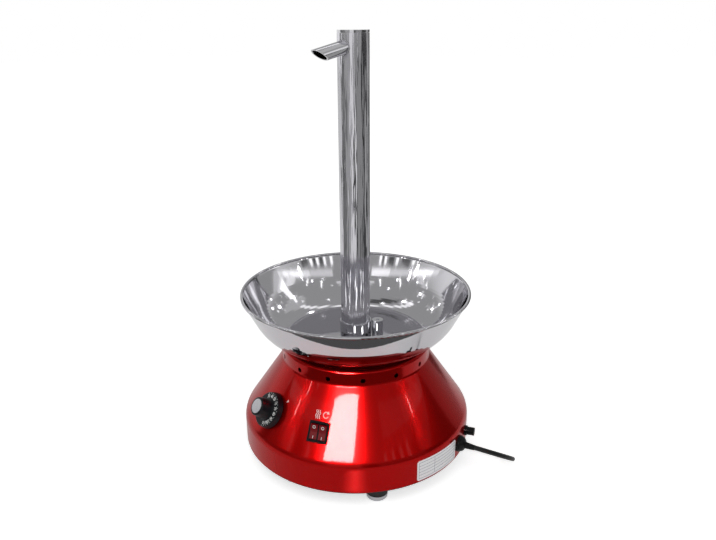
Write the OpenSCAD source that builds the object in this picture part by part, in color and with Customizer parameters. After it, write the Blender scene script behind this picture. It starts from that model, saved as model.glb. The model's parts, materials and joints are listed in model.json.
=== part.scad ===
// Chocolate fountain: a heated steel bowl on a red conical base, with a single lifting column
// whose screw carries the chocolate up to a spout.
// Millimetres, +Z up, floor at z = 0, column on the Z axis, controls towards -Y.
// A direction (az) is in degrees from -Y, turning towards +X.

/* [Base] */
// Outside diameter of the base wall
base_d = 285; // [276:1:300]
// Height of the straight base wall
wall_h = 28; // [27:0.5:34]
// Radius of the shoulder between the wall and the cone
shoulder_r = 18; // [12:1:22]
// Slope of the cone from the vertical
cone_deg = 34.5; // [33:0.5:36]
// Outside diameter of the neck
neck_d = 183; // [178:1:188]
// Height of the straight neck
neck_h = 17.5; // [15:0.5:22]
// Radius of the hollow where the neck meets the cone
neck_fillet_r = 6; // [3:0.5:8]
// Radius of the turned-in top edge of the neck
neck_edge_r = 3; // [2:0.5:5]
// Thickness of the painted sheet steel
shell_t = 1.2; // [0.8:0.1:1.5]
// Width of the turned-in flange at the lower edge
base_flange_w = 11.5; // [10.5:0.5:12]
// Number of air holes round the neck
vent_count = 14; // [8:1:18]
// Diameter of an air hole
vent_d = 6; // [4:0.5:7]
// Height of the air holes above the foot of the neck
vent_rise = 6; // [5:0.5:8]
// Direction of the first air hole
vent_az = 4.8; // [0:0.1:25]
// Thickness of the bottom plate
plate_t = 1.5; // [1:0.1:2.5]
// Distance from the plate's edge to the outside of the wall
plate_inset = 1; // [0.5:0.1:2]
// Number of cooling slots in the bottom plate
slot_count = 8; // [4:1:10]
// Width of a cooling slot
slot_w = 5; // [3:0.5:8]
// Distance from the axis to the inner end of a slot
slot_in_r = 62; // [40:1:70]
// Distance from the axis to the outer end of a slot
slot_out_r = 88; // [80:1:94]

/* [Feet] */
// Number of feet
foot_count = 4; // [3:1:6]
// Direction of the first foot
foot_az = 10.5; // [0:0.5:45]
// Diameter of the rubber cushion
foot_d = 26; // [18:1:28]
// Height of the rubber cushion
cushion_h = 10.5; // [8:0.5:14]
// Height of the steel glide
glide_h = 6.5; // [4:0.5:9]
// Radius of the glide's lower edge
glide_edge_r = 3; // [1:0.5:4]
// Distance from the outside of the wall to a foot's axis
foot_inset = 17.5; // [17:0.5:24]
// Diameter of the stud through a foot
foot_stud_d = 5; // [4:0.5:5]

/* [Bowl] */
// Diameter over the rolled rim
bowl_d = 280; // [270:1:292]
// Height from the floor's underside to the top of the rim
bowl_h = 63; // [58:1:70]
// Outside radius of the curve between floor and wall
bowl_curve_r = 59.5; // [50:0.5:64]
// Slope of the bowl's wall from the vertical
bowl_wall_deg = 27; // [25:0.5:29]
// Thickness of the bowl's sheet
bowl_t = 1.2; // [0.8:0.1:1.6]
// Radius of the rolled rim
rim_r = 1.8; // [1.2:0.1:2.4]
// Height of the gasket between neck and bowl
gasket_h = 4; // [3:0.5:6]
// Width of the gasket
gasket_w = 8; // [8:0.5:10]
// Number of studs that hold the bowl
bowl_stud_count = 4; // [3:1:6]
// Direction of the first bowl stud
bowl_stud_az = 45; // [40:1:50]
// Diameter of a bowl stud
bowl_stud_d = 4; // [3:0.5:4]
// Width of the ring heater
heater_w = 12; // [8:0.5:14]
// Height of the ring heater
heater_h = 8; // [5:0.5:10]

/* [Collar and sensor] */
// Height of the collar above the bowl's floor
collar_h = 20; // [18:0.5:26]
// Thickness of the collar
collar_t = 1.2; // [0.8:0.1:2]
// Number of intake windows in collar and column
intake_count = 4; // [3:1:5]
// Width of an intake window
intake_w = 12; // [8:0.5:14]
// Height of an intake window
intake_h = 7; // [5:0.5:8]
// Diameter of the sensor pocket
pocket_d = 13.6; // [11:0.2:15]
// Height of the sensor pocket above the bowl's floor
pocket_h = 21; // [18:0.5:26]
// Direction of the sensor pocket
pocket_az = 82; // [75:1:90]
// Diameter of the thermostat's bulb
bulb_d = 6; // [5:0.1:7]
// Length of the thermostat's bulb
bulb_len = 14; // [10:0.5:15]

/* [Column] */
// Outside diameter of the column
column_d = 35.7; // [34:0.1:38]
// Height of the column, cap included
column_h = 360.2; // [340:1:380]
// Thickness of the column's tube
column_t = 1.2; // [0.8:0.1:1.5]
// Thickness of the cap's disc
cap_t = 2.6; // [2:0.1:4]
// Depth of the cap's plug in the tube
cap_plug_h = 7; // [4:0.5:8]
// Width of the shadow line under the cap's disc
cap_groove = 0.4; // [0.2:0.1:0.8]
// Outside diameter of the spout
spout_d = 15; // [12:0.2:16]
// Thickness of the spout's tube
spout_t = 1.2; // [0.8:0.1:1.6]
// Direction of the spout
spout_az = -38.3; // [-45:0.1:-30]
// Downward slope of the spout
spout_deg = 9.3; // [6:0.1:12]
// Distance from the top of the cap down to the spout's axis, at the column's axis
spout_drop = 14.7; // [14.5:0.1:18]
// Reach of the spout's upper lip from the column's axis
spout_reach = 66; // [60:0.5:72]
// How far the mouth's lower lip is cut back
spout_cut = 18.6; // [10:0.2:20]
// Diameter of the locating pin
pin_d = 5; // [3:0.1:5.5]
// Direction of the locating pin
pin_az = -15; // [-20:0.5:-10]
// How far the pin stands out of the tube
pin_reach = 3.6; // [2:0.1:5]
// Sideways turn of the hooked slot, in degrees round the collar
hook_deg = 24; // [15:1:30]

/* [Screw and drive] */
// Diameter of the screw's shaft
auger_shaft_d = 10; // [9.5:0.1:12]
// Climb of the flight in one turn
auger_pitch = 34; // [26:0.5:44]
// Thickness of the flight
flight_t = 2; // [1.2:0.1:3]
// Diameter of the drive shaft
drive_d = 8; // [7:0.1:8.4]
// Side of the square end of the drive shaft
drive_square = 5.6; // [4:0.1:5.7]
// Length of the square end
drive_square_h = 15; // [10:0.5:20]
// Outside diameter of the hub through the bowl's floor
hub_d = 22; // [19:0.5:24]
// Diameter of the hub's flange
hub_flange_d = 30; // [27:0.5:31]
// Thickness of the hub's flange
hub_flange_t = 3; // [2:0.5:4]
// Length of the hub below the bowl
hub_drop = 16; // [13:0.5:18]
// Across flats of the hub's nut
hub_nut_af = 30; // [28:0.5:32]
// Thickness of the hub's nut
hub_nut_h = 7; // [5:0.5:9]
// Outside diameter of the bush and the seal
bush_d = 13; // [11:0.1:14]
// Length of the bush
bush_h = 11; // [8:0.5:12]
// Outside diameter of the shaft coupling
coupling_d = 17; // [14:0.5:20]
// Number of pillars that carry the motor
standoff_count = 3; // [3:1:4]
// Diameter of a pillar
standoff_d = 8; // [7:0.5:9]
// Length of a pillar
standoff_h = 37.3; // [36:0.1:44]
// Thickness of the motor's plate
motor_plate_t = 2.5; // [1.5:0.1:3]
// Diameter of the gearbox
gearbox_d = 54; // [50:1:60]
// Height of the gearbox
gearbox_h = 28; // [22:0.5:30]
// Diameter of the motor
motor_d = 46; // [40:1:49]
// Height of the motor
motor_h = 38; // [34:0.5:42]

/* [Thermostat and knob] */
// Direction of the knob
knob_az = -55.7; // [-60:0.1:-50]
// Height of the knob's axis where it meets the cone
knob_z = 81.4; // [79:0.1:90]
// Diameter of the dial
dial_d = 44; // [40:0.2:46]
// Thickness of the dial
dial_t = 6.5; // [5:0.1:8]
// Diameter of the grip at its end
grip_d = 22; // [20:0.2:26]
// Height of the knob from the cone to the end of the grip
knob_h = 23.5; // [19:0.5:28]
// Diameter of the bright disc in the grip
insert_d = 17; // [14:0.2:18]
// Thickness of the bright disc
insert_t = 1; // [0.6:0.1:1.5]
// Diameter of the thermostat's shaft
dial_shaft_d = 6; // [5:0.1:6.4]
// Diameter of the thermostat's threaded bush
thermo_bush_d = 10; // [9.5:0.1:11]
// Side of the thermostat's body
thermo_w = 34; // [28:0.5:36]
// Depth of the thermostat's body
thermo_depth = 20; // [16:0.5:24]

/* [Switch] */
// Direction of the switch
switch_az = -20.6; // [-24:0.1:-18]
// Height of the switch's middle on the cone
switch_z = 80.8; // [78:0.1:88]
// Width of the switch's frame
switch_w = 24; // [23.5:0.1:26]
// Length of the switch's frame, along the slope
switch_len = 24; // [23:0.1:26]
// Thickness of the frame's rim
switch_rim_t = 2; // [1.5:0.1:2.5]
// Depth of the switch behind the cone
switch_depth = 18; // [16:0.5:24]
// Width of a rocker
rocker_w = 8.8; // [8:0.1:9]
// Length of a rocker
rocker_len = 18.4; // [15:0.1:19]
// Tilt of a rocker to each side of level
rocker_deg = 9; // [6:0.5:11]
// Diameter of a rocker's pivot
rocker_pin_d = 3; // [2:0.1:3.4]

/* [Fuse and cord entry] */
// Direction of the fuse holder
fuse_az = 71; // [69:0.5:78]
// Height of the fuse holder above the wall's lower edge
fuse_rise = 18.5; // [16:0.5:20]
// Diameter of the fuse holder's flange
fuse_flange_d = 12.4; // [12:0.1:14]
// Diameter of the fuse holder's body
fuse_body_d = 11; // [10.4:0.1:11.4]
// Diameter of the fuse cap
fuse_cap_d = 10; // [9:0.1:11]
// How far the fuse cap stands out of the wall
fuse_cap_h = 12; // [9:0.5:15]
// Diameter of the fuse
fuse_d = 5; // [4.5:0.1:5.2]
// Length of the fuse
fuse_len = 18; // [14:0.5:20]
// Direction of the cord gland
gland_az = 60; // [58:0.5:61]
// Height of the cord gland above the wall's lower edge
gland_rise = 16.5; // [14:0.5:17]
// Diameter of the gland's flange
gland_d = 20; // [17:0.2:21]
// Thickness of the gland's flange
gland_flange_t = 3; // [2:0.5:4]
// Length of the gland's dome
gland_dome_h = 6; // [4:0.5:8]
// Length of the gland's tapered sleeve
gland_sleeve_h = 12; // [10:0.5:30]
// Diameter of the gland's shank
gland_shank_d = 15; // [12:0.2:16]
// Diameter of the mains cord
cord_d = 5.4; // [5:0.1:6.5]

/* [Clearances] */
// Gap between pieces that are pressed or screwed together
fit = 0.05; // [0.03:0.01:0.08]
// Radial gap of a running fit
run = 0.05; // [0.03:0.01:0.08]
// Gap at rest between a lifted piece and its seat
seat = 0.3; // [0.2:0.05:0.4]
// Gap between the column and its collar
column_fit = 0.35; // [0.2:0.05:0.6]
// Gap between the screw and the column
auger_fit = 0.45; // [0.3:0.05:0.8]
// Gap of a screw in its clearance hole
screw_fit = 0.15; // [0.1:0.05:0.3]
// Gap round a rocker and other loose neighbours
play = 0.3; // [0.2:0.05:0.4]

/* [Hidden] */
$fn = 64;
loop_rings = 24;

// Heights, from the floor up
base_z = glide_h + cushion_h + plate_t;
plate_z = base_z - plate_t;
shoulder_z = base_z + wall_h;
base_r = base_d / 2;
cone_start_r = base_r - shoulder_r * (1 - cos(cone_deg));
cone_start_z = shoulder_z + shoulder_r * sin(cone_deg);
neck_r = neck_d / 2;
neck_z = cone_start_z + (cone_start_r - neck_r) / tan(cone_deg);
neck_top = neck_z + neck_h;
bowl_z = neck_top + gasket_h;
bowl_floor = bowl_z + bowl_t;
rim_z = bowl_z + bowl_h - rim_r;
column_z = bowl_floor + seat;
column_top = column_z + column_h;
collar_top = bowl_floor + collar_h;

// The bowl's flat floor is what the wall's slope and the curve leave of the rim's radius
bowl_curve_top = bowl_z + bowl_curve_r * (1 - sin(bowl_wall_deg));
bowl_wall_run = (rim_z - bowl_curve_top) * tan(bowl_wall_deg);
floor_r = bowl_d / 2 - rim_r + bowl_t / 2 - bowl_wall_run - bowl_curve_r * cos(bowl_wall_deg);

// Rings round the axis under the bowl
neck_flange_r = floor_r - gasket_w;
bowl_stud_ring = floor_r - gasket_w / 2;
standoff_ring = neck_flange_r - standoff_d / 2 - 2;
standoff_az = 30;
heater_gap = 1.5;
heater_r = standoff_ring - standoff_d / 2 - heater_gap;
column_r = column_d / 2;
tube_r = column_r - column_t;
collar_in_r = column_r + column_fit;
collar_r = collar_in_r + collar_t;
pocket_gap = 1.1;
pocket_ring = collar_r + pocket_d / 2 + pocket_gap;
foot_ring = base_r - foot_inset;
plate_screw_ring = base_r - (base_flange_w + shell_t) / 2;
bottom_flange_r = base_r - base_flange_w;

// Drive heights
hub_bottom = bowl_z - hub_drop;
hub_top = bowl_floor + hub_flange_t;
auger_z = hub_top + 0.5;
motor_plate_top = bowl_z - standoff_h;
motor_plate_z = motor_plate_top - motor_plate_t;
motor_plate_r = standoff_ring + standoff_d / 2 + 2;
gearbox_z = motor_plate_z - gearbox_h;
coupling_z = motor_plate_top + 2;
coupling_top = hub_bottom - 1.8;
coupling_mid = (coupling_z + coupling_top) / 2;
spout_z = column_top - spout_drop;
auger_top = spout_z - 10;
auger_r = tube_r - auger_fit;

// Screw sizes
m4_r = 2;
thread_lead = 1;
m4_head_r = 3.6;
m4_head_h = 2.4;
m4_nut_af = 7;
m4_nut_h = 3.2;
m5_nut_af = 8;
m5_nut_h = 4;

function flip(list) = [for (i = [len(list) - 1 : -1 : 0]) list[i]];
function arc(centre, r, from, to, steps) =
    [for (i = [0 : steps]) let (a = from + (to - from) * i / steps) centre + r * [cos(a), sin(a)]];
function cone_r(z) = cone_start_r - (z - cone_start_z) * tan(cone_deg);
function unit(v) = v / norm(v);
function polar(r, az, z) = [r * sin(az), -r * cos(az), z];

// Rings of points round a path, with the ends square to it
function tube_ring(p, dir, r, sides, up) =
    let (u = unit(cross(up, dir)), v = cross(dir, u))
    [for (j = [0 : sides - 1]) p + r * (cos(360 * j / sides) * u + sin(360 * j / sides) * v)];
function path_dir(path, i) = unit(path[min(i + 1, len(path) - 1)] - path[max(i - 1, 0)]);
function tube_rings(path, r, sides, up) =
    [for (i = [0 : len(path) - 1]) tube_ring(path[i], path_dir(path, i), r, sides, up)];

// A smooth curve through a route's points
function curve_at(a, b, c, d, t) =
    b + 0.5 * t * (c - a + t * (2 * a - 5 * b + 4 * c - d + t * (3 * (b - c) + d - a)));
function smooth(route, steps) = let (last = len(route) - 1)
    concat([for (i = [0 : last - 1], s = [0 : steps - 1])
        curve_at(route[max(i - 1, 0)], route[i], route[i + 1], route[min(i + 2, last)], s / steps)],
        [route[last]]);
function path_length(path, i = 0) =
    i >= len(path) - 1 ? 0 : norm(path[i + 1] - path[i]) + path_length(path, i + 1);

// A closed skin of triangles over rings of equal size
module skin(rings) {
    n = len(rings);
    k = len(rings[0]);
    points = [for (ring = rings, p = ring) p];
    sides = [for (i = [0 : n - 2], j = [0 : k - 1], half = [0, 1])
        let (a = i * k + j, b = i * k + (j + 1) % k)
        half == 0 ? [a, a + k, b + k] : [a, b + k, b]];
    first = [for (j = [1 : k - 2]) [0, j, j + 1]];
    last = [for (j = [1 : k - 2]) [(n - 1) * k, (n - 1) * k + j + 1, (n - 1) * k + j]];
    polyhedron(points, concat(sides, first, last));
}

// Frames on the cone and on the wall: Z points out of the surface, Y up along it
module on_cone(az, z) {
    rotate([0, 0, az]) translate([0, -cone_r(z), z]) rotate([90 - cone_deg, 0, 0]) children();
}
module on_wall(az, z) {
    rotate([0, 0, az]) translate([0, -base_r, z]) rotate([90, 0, 0]) children();
}
module round_copies(count, az, r, z) {
    for (i = [0 : count - 1]) translate(polar(r, az + 360 * i / count, z)) children();
}
module hex(af, h) {
    rotate([0, 0, 30]) cylinder(d = af / cos(30), h = h, $fn = 6);
}
module hex_nut(af, h, bore_r) {
    difference() {
        hex(af, h);
        translate([0, 0, -1]) cylinder(r = bore_r, h = h + 2);
    }
}
module ring(r, bore_r, h) {
    difference() {
        cylinder(r = r, h = h);
        translate([0, 0, -1]) cylinder(r = bore_r, h = h + 2);
    }
}
module slab(w, len, z0, z1) {
    translate([-w / 2, -len / 2, z0]) cube([w, len, z1 - z0]);
}

// Base

function shell_line(inset) =
    let (
        fillet_z = neck_z + neck_fillet_r * tan(cone_deg / 2),
        fillet_centre = [neck_r + neck_fillet_r, fillet_z]
    )
    concat(
        [[bottom_flange_r, base_z + inset], [base_r - inset, base_z + inset]],
        arc([base_r - shoulder_r, shoulder_z], shoulder_r - inset, 0, cone_deg, 10),
        arc(fillet_centre, neck_fillet_r + inset, 180 + cone_deg, 180, 6),
        arc([neck_r - neck_edge_r, neck_top - neck_edge_r], neck_edge_r - inset, 0, 90, 8),
        [[neck_flange_r, neck_top - inset]]
    );

fuse_z = base_z + fuse_rise;
gland_z = base_z + gland_rise;
switch_body_w = switch_w - 2.4;
switch_body_len = switch_len - 2.4;

module housing_shell() {
    color([0.64, 0, 0.03]) difference() {
        rotate_extrude() polygon(concat(shell_line(0), flip(shell_line(shell_t))));
        for (i = [0 : vent_count - 1]) rotate([0, 0, vent_az + 360 * i / vent_count])
            translate([0, -neck_r, neck_z + vent_rise]) rotate([90, 0, 0])
                cylinder(d = vent_d, h = 8, center = true);
        on_cone(knob_az, knob_z) cylinder(r = thermo_bush_d / 2 + screw_fit, h = 10, center = true);
        on_cone(switch_az, switch_z)
            slab(switch_body_w + 2 * screw_fit, switch_body_len + 2 * screw_fit, -8, 8);
        on_wall(fuse_az, fuse_z) cylinder(r = fuse_body_d / 2 + screw_fit, h = 10, center = true);
        on_wall(gland_az, gland_z) cylinder(r = gland_shank_d / 2 + screw_fit, h = 10, center = true);
        round_copies(foot_count, foot_az + 180 / foot_count, plate_screw_ring, base_z - 1)
            cylinder(r = m4_r + screw_fit, h = shell_t + 2);
        round_copies(bowl_stud_count, bowl_stud_az, bowl_stud_ring, neck_top - shell_t - 1)
            cylinder(r = bowl_stud_d / 2 + screw_fit, h = shell_t + 2);
    }
}

module cooling_slot() {
    for (r = [slot_in_r + slot_w / 2, slot_out_r - slot_w / 2])
        translate([0, -r, plate_z - 1]) cylinder(d = slot_w, h = plate_t + 2);
    translate([-slot_w / 2, slot_w / 2 - slot_out_r, plate_z - 1])
        cube([slot_w, slot_out_r - slot_in_r - slot_w, plate_t + 2]);
}

module bottom_plate() {
    color([0.08, 0.08, 0.08]) difference() {
        translate([0, 0, plate_z]) cylinder(r = base_r - plate_inset, h = plate_t);
        for (i = [0 : slot_count - 1]) rotate([0, 0, 360 * i / slot_count]) cooling_slot();
        round_copies(foot_count, foot_az, foot_ring, plate_z - 1)
            cylinder(r = foot_stud_d / 2 + screw_fit, h = plate_t + 2);
        round_copies(foot_count, foot_az + 180 / foot_count, plate_screw_ring, plate_z - 1)
            cylinder(r = m4_r + screw_fit, h = plate_t + 2);
    }
}

module plate_screws() {
    color("silver") round_copies(foot_count, foot_az + 180 / foot_count, plate_screw_ring, plate_z) {
        translate([0, 0, -m4_head_h]) cylinder(r = m4_head_r, h = m4_head_h);
        cylinder(r = m4_r, h = plate_t + shell_t + m4_nut_h + thread_lead);
        translate([0, 0, plate_t + shell_t]) hex(m4_nut_af, m4_nut_h);
    }
}

module foot_cushions() {
    color([0.05, 0.05, 0.05]) round_copies(foot_count, foot_az, foot_ring, glide_h) difference() {
        cylinder(d1 = foot_d - 2, d2 = foot_d, h = cushion_h);
        translate([0, 0, -1]) cylinder(r = foot_stud_d / 2 + fit, h = cushion_h + 2);
    }
}

module foot_glides() {
    glide_r = foot_d / 2 - 0.5;
    color([0.8, 0.8, 0.82]) round_copies(foot_count, foot_az, foot_ring, 0) {
        rotate_extrude() polygon(concat(
            [[0, 0]],
            arc([glide_r - glide_edge_r, glide_edge_r], glide_edge_r, -90, 0, 8),
            [[glide_r, glide_h], [0, glide_h]]
        ));
        cylinder(d = foot_stud_d, h = base_z + m5_nut_h + thread_lead);
    }
}

module foot_nuts() {
    color("silver") round_copies(foot_count, foot_az, foot_ring, base_z)
        hex_nut(m5_nut_af, m5_nut_h, foot_stud_d / 2 + fit);
}

// Bowl

function bowl_line(inset) = concat(
    [[hub_d / 2 + fit, bowl_z + inset]],
    arc([floor_r, bowl_z + bowl_curve_r], bowl_curve_r - inset, -90, -bowl_wall_deg, 18),
    [[bowl_d / 2 - rim_r + bowl_t / 2 - inset / cos(bowl_wall_deg), rim_z]]
);

module bowl() {
    color([0.75, 0.73, 0.76]) difference() {
        union() {
            rotate_extrude() polygon(concat(bowl_line(0), flip(bowl_line(bowl_t))));
            rotate_extrude() translate([bowl_d / 2 - rim_r, rim_z]) circle(r = rim_r);
        }
        translate(polar(pocket_ring, pocket_az, bowl_z - 1))
            cylinder(r = pocket_d / 2 + fit, h = bowl_t + 2);
    }
}

module bowl_gasket() {
    color([0.1, 0.1, 0.1]) difference() {
        translate([0, 0, neck_top]) ring(floor_r, neck_flange_r, gasket_h);
        round_copies(bowl_stud_count, bowl_stud_az, bowl_stud_ring, neck_top - 1)
            cylinder(r = bowl_stud_d / 2 + screw_fit, h = gasket_h + 2);
    }
}

bowl_stud_h = gasket_h + shell_t + m4_nut_h + thread_lead;

module bowl_studs() {
    color("silver") round_copies(bowl_stud_count, bowl_stud_az, bowl_stud_ring, bowl_z - bowl_stud_h)
        cylinder(d = bowl_stud_d, h = bowl_stud_h);
}

module bowl_nuts() {
    color("silver")
        round_copies(bowl_stud_count, bowl_stud_az, bowl_stud_ring, neck_top - shell_t - m4_nut_h)
            hex_nut(m4_nut_af, m4_nut_h, bowl_stud_d / 2 + fit);
}

// Grooved below, and notched where it would reach the sensor
module heater_ring() {
    groove_w = heater_w * 0.4;
    groove_h = heater_h / 4;
    groove_r = heater_r - (heater_w - groove_w) / 2;
    color([0.6, 0.6, 0.58]) difference() {
        translate([0, 0, bowl_z - heater_h]) ring(heater_r, heater_r - heater_w, heater_h);
        translate([0, 0, bowl_z - heater_h - 1]) ring(groove_r, groove_r - groove_w, groove_h + 1);
        translate(polar(pocket_ring, pocket_az, bowl_z - heater_h - 1))
            cylinder(r = pocket_d / 2 + pocket_gap, h = heater_h + 2);
    }
}

module intake_windows(z) {
    for (i = [0 : intake_count - 1]) rotate([0, 0, 45 + 360 * i / intake_count])
        translate([-intake_w / 2, -collar_r - 2, z - 1]) cube([intake_w, collar_r, intake_h + 1]);
}

pin_z = collar_top - 1.5;
hook_w = pin_d + 2 * play;

module collar() {
    color([0.8, 0.8, 0.82]) difference() {
        translate([0, 0, bowl_floor]) ring(collar_r, collar_in_r, collar_h);
        intake_windows(bowl_floor);
        rotate([0, 0, pin_az]) translate([-hook_w / 2, -collar_r - 2, collar_top - 2 * hook_w])
            cube([hook_w, collar_r, 3 * hook_w]);
        rotate([0, 0, pin_az - hook_deg - 90]) rotate_extrude(angle = hook_deg)
            translate([collar_in_r - 1, collar_top - 2 * hook_w]) square([collar_t + 2, hook_w]);
    }
}

module sensor_pocket() {
    color([0.8, 0.8, 0.82]) translate(polar(pocket_ring, pocket_az, bowl_z)) difference() {
        cylinder(d = pocket_d, h = bowl_t + pocket_h);
        translate([0, 0, -1]) cylinder(r = bulb_d / 2 + 2 * fit, h = bowl_t + pocket_h - 2);
        translate([0, 0, bowl_t + pocket_h - 1]) cylinder(r = 2, h = 2);
    }
}

// Column, lifted off as one

module spout_frame() {
    translate([0, 0, spout_z]) rotate([0, 0, spout_az]) rotate([90 + spout_deg, 0, 0]) children();
}

module column_tube() {
    tube_top = column_top - cap_t - cap_groove;
    color([0.75, 0.76, 0.78]) difference() {
        translate([0, 0, column_z]) ring(column_r, tube_r, tube_top - column_z);
        intake_windows(column_z);
        spout_frame() cylinder(r = spout_d / 2 - spout_t, h = 2 * column_r);
        rotate([0, 0, pin_az]) translate([0, 0, pin_z]) rotate([90, 0, 0])
            cylinder(r = pin_d / 2 + fit, h = 2 * column_r);
    }
}

module column_cap() {
    color([0.7, 0.71, 0.73]) {
        translate([0, 0, column_top - cap_t]) cylinder(r = column_r, h = cap_t);
        translate([0, 0, column_top - cap_t - cap_groove - cap_plug_h])
            cylinder(r = tube_r - fit, h = cap_plug_h + cap_groove + cap_t / 2);
    }
}

module column_pin() {
    color("silver") rotate([0, 0, pin_az]) translate([0, -tube_r - fit, pin_z]) rotate([90, 0, 0])
        cylinder(d = pin_d, h = column_t + pin_reach - fit);
}

module spout() {
    spout_r = spout_d / 2;
    mouth_deg = atan(spout_cut / spout_d);
    color([0.75, 0.76, 0.78]) difference() {
        spout_frame() ring(spout_r, spout_r - spout_t, spout_reach + 1);
        translate([0, 0, column_z]) cylinder(r = column_r + fit, h = column_h);
        spout_frame() translate([0, spout_r, spout_reach]) rotate([mouth_deg, 0, 0])
            translate([-spout_d, -4 * spout_d, 0]) cube([2 * spout_d, 5 * spout_d, 3 * spout_d]);
    }
}

// Screw and drive, turning as one

auger_tip = 6;

module auger_shaft() {
    color([0.82, 0.82, 0.84]) translate([0, 0, auger_z]) difference() {
        cylinder(d = auger_shaft_d, h = auger_top + auger_tip - auger_z);
        slab(drive_square + 2 * fit, drive_square + 2 * fit, -1, drive_square_h + 1);
    }
}

flight_low = auger_z + flight_t;
flight_steps = ceil(loop_rings * (auger_top - flight_low) / auger_pitch);

// The flight's upper end faces the spout
function flight_az(z) = spout_az - 360 * (auger_top - z) / auger_pitch;
function flight_ring(z) = [
    for (corner = [[0, -1], [0, 1], [1, 1], [1, -1]])
        polar(corner[0] == 0 ? auger_shaft_d / 2 : auger_r, flight_az(z), z + corner[1] * flight_t / 2)
];

module auger_flight() {
    color([0.82, 0.82, 0.84]) skin([for (i = [0 : flight_steps])
        flight_ring(flight_low + (auger_top - flight_low) * i / flight_steps)]);
}

module drive_shaft() {
    color([0.7, 0.7, 0.72]) {
        translate([0, 0, coupling_mid]) cylinder(d = drive_d, h = auger_z - coupling_mid - fit);
        slab(drive_square, drive_square, auger_z - 1, auger_z + drive_square_h);
    }
}

grub_d = 3.2;
grub_inset = 4;

module shaft_coupling() {
    color([0.55, 0.55, 0.57]) difference() {
        translate([0, 0, coupling_z]) ring(coupling_d / 2, drive_d / 2 + fit, coupling_top - coupling_z);
        for (z = [coupling_z + grub_inset, coupling_top - grub_inset])
            translate([0, -coupling_d / 2, z]) rotate([90, 0, 0])
                cylinder(d = grub_d, h = 5, center = true);
    }
}

output_shaft_z = motor_plate_z - gearbox_h / 3;

module output_shaft() {
    color([0.7, 0.7, 0.72]) translate([0, 0, output_shaft_z])
        cylinder(d = drive_d, h = coupling_mid - fit - output_shaft_z);
}

module bowl_hub() {
    color([0.78, 0.78, 0.8]) difference() {
        union() {
            translate([0, 0, hub_bottom]) cylinder(d = hub_d, h = hub_top - hub_bottom);
            translate([0, 0, bowl_floor]) cylinder(d = hub_flange_d, h = hub_flange_t);
        }
        translate([0, 0, hub_bottom - 1]) cylinder(r = bush_d / 2 + fit, h = hub_top - hub_bottom + 2);
    }
}

module hub_nut() {
    color("silver") translate([0, 0, bowl_z - hub_nut_h]) hex_nut(hub_nut_af, hub_nut_h, hub_d / 2 + fit);
}

module shaft_bush() {
    color([0.72, 0.55, 0.3]) translate([0, 0, hub_bottom]) ring(bush_d / 2, drive_d / 2 + run, bush_h);
}

module shaft_seal() {
    seal_z = hub_bottom + bush_h;
    seal_sink = 1;
    color([0.1, 0.1, 0.1]) translate([0, 0, seal_z])
        ring(bush_d / 2, drive_d / 2 + run, hub_top - seal_z - seal_sink);
}

standoff_screw_h = 10;
standoff_thread_h = standoff_screw_h + thread_lead;

module standoffs() {
    color([0.7, 0.7, 0.72])
        round_copies(standoff_count, standoff_az, standoff_ring, motor_plate_top) difference() {
            cylinder(d = standoff_d, h = standoff_h);
            translate([0, 0, -1]) cylinder(r = m4_r + fit, h = standoff_thread_h + 1);
        }
}

module standoff_screws() {
    color("silver") round_copies(standoff_count, standoff_az, standoff_ring, motor_plate_z) {
        translate([0, 0, -m4_head_h]) cylinder(r = m4_head_r, h = m4_head_h);
        cylinder(r = m4_r, h = motor_plate_t + standoff_screw_h);
    }
}

gearbox_screw_count = 4;
gearbox_screw_az = 45;
gearbox_screw_ring = gearbox_d / 2 - 6;
gearbox_screw_h = 8;
plate_scallop_r = 24;
plate_scallop_depth = 14;

module motor_plate() {
    color([0.62, 0.62, 0.64]) difference() {
        translate([0, 0, motor_plate_z]) ring(motor_plate_r, drive_d / 2 + 3, motor_plate_t);
        round_copies(standoff_count, standoff_az, standoff_ring, motor_plate_z - 1)
            cylinder(r = m4_r + screw_fit, h = motor_plate_t + 2);
        round_copies(gearbox_screw_count, gearbox_screw_az, gearbox_screw_ring, motor_plate_z - 1)
            cylinder(r = m4_r + screw_fit, h = motor_plate_t + 2);
        round_copies(standoff_count, standoff_az + 180 / standoff_count,
            motor_plate_r + plate_scallop_r - plate_scallop_depth, motor_plate_z - 1)
            cylinder(r = plate_scallop_r, h = motor_plate_t + 2);
    }
}

module gearbox_screws() {
    color("silver")
        round_copies(gearbox_screw_count, gearbox_screw_az, gearbox_screw_ring, motor_plate_top) {
            cylinder(r = m4_head_r, h = m4_head_h);
            translate([0, 0, -motor_plate_t - gearbox_screw_h])
                cylinder(r = m4_r, h = motor_plate_t + gearbox_screw_h);
        }
}

module gearbox() {
    seam_h = 3;
    seam_w = 1.5;
    color([0.5, 0.5, 0.52]) difference() {
        union() {
            translate([0, 0, gearbox_z]) cylinder(d = gearbox_d, h = gearbox_h);
            translate([0, 0, gearbox_z + (gearbox_h - seam_h) / 2])
                cylinder(r = gearbox_d / 2 + seam_w, h = seam_h);
        }
        translate([0, 0, output_shaft_z - fit]) cylinder(r = drive_d / 2 + run, h = gearbox_h);
        round_copies(gearbox_screw_count, gearbox_screw_az, gearbox_screw_ring,
            motor_plate_z - gearbox_screw_h - thread_lead)
            cylinder(r = m4_r + fit, h = gearbox_screw_h + thread_lead + 1);
    }
}

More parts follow.
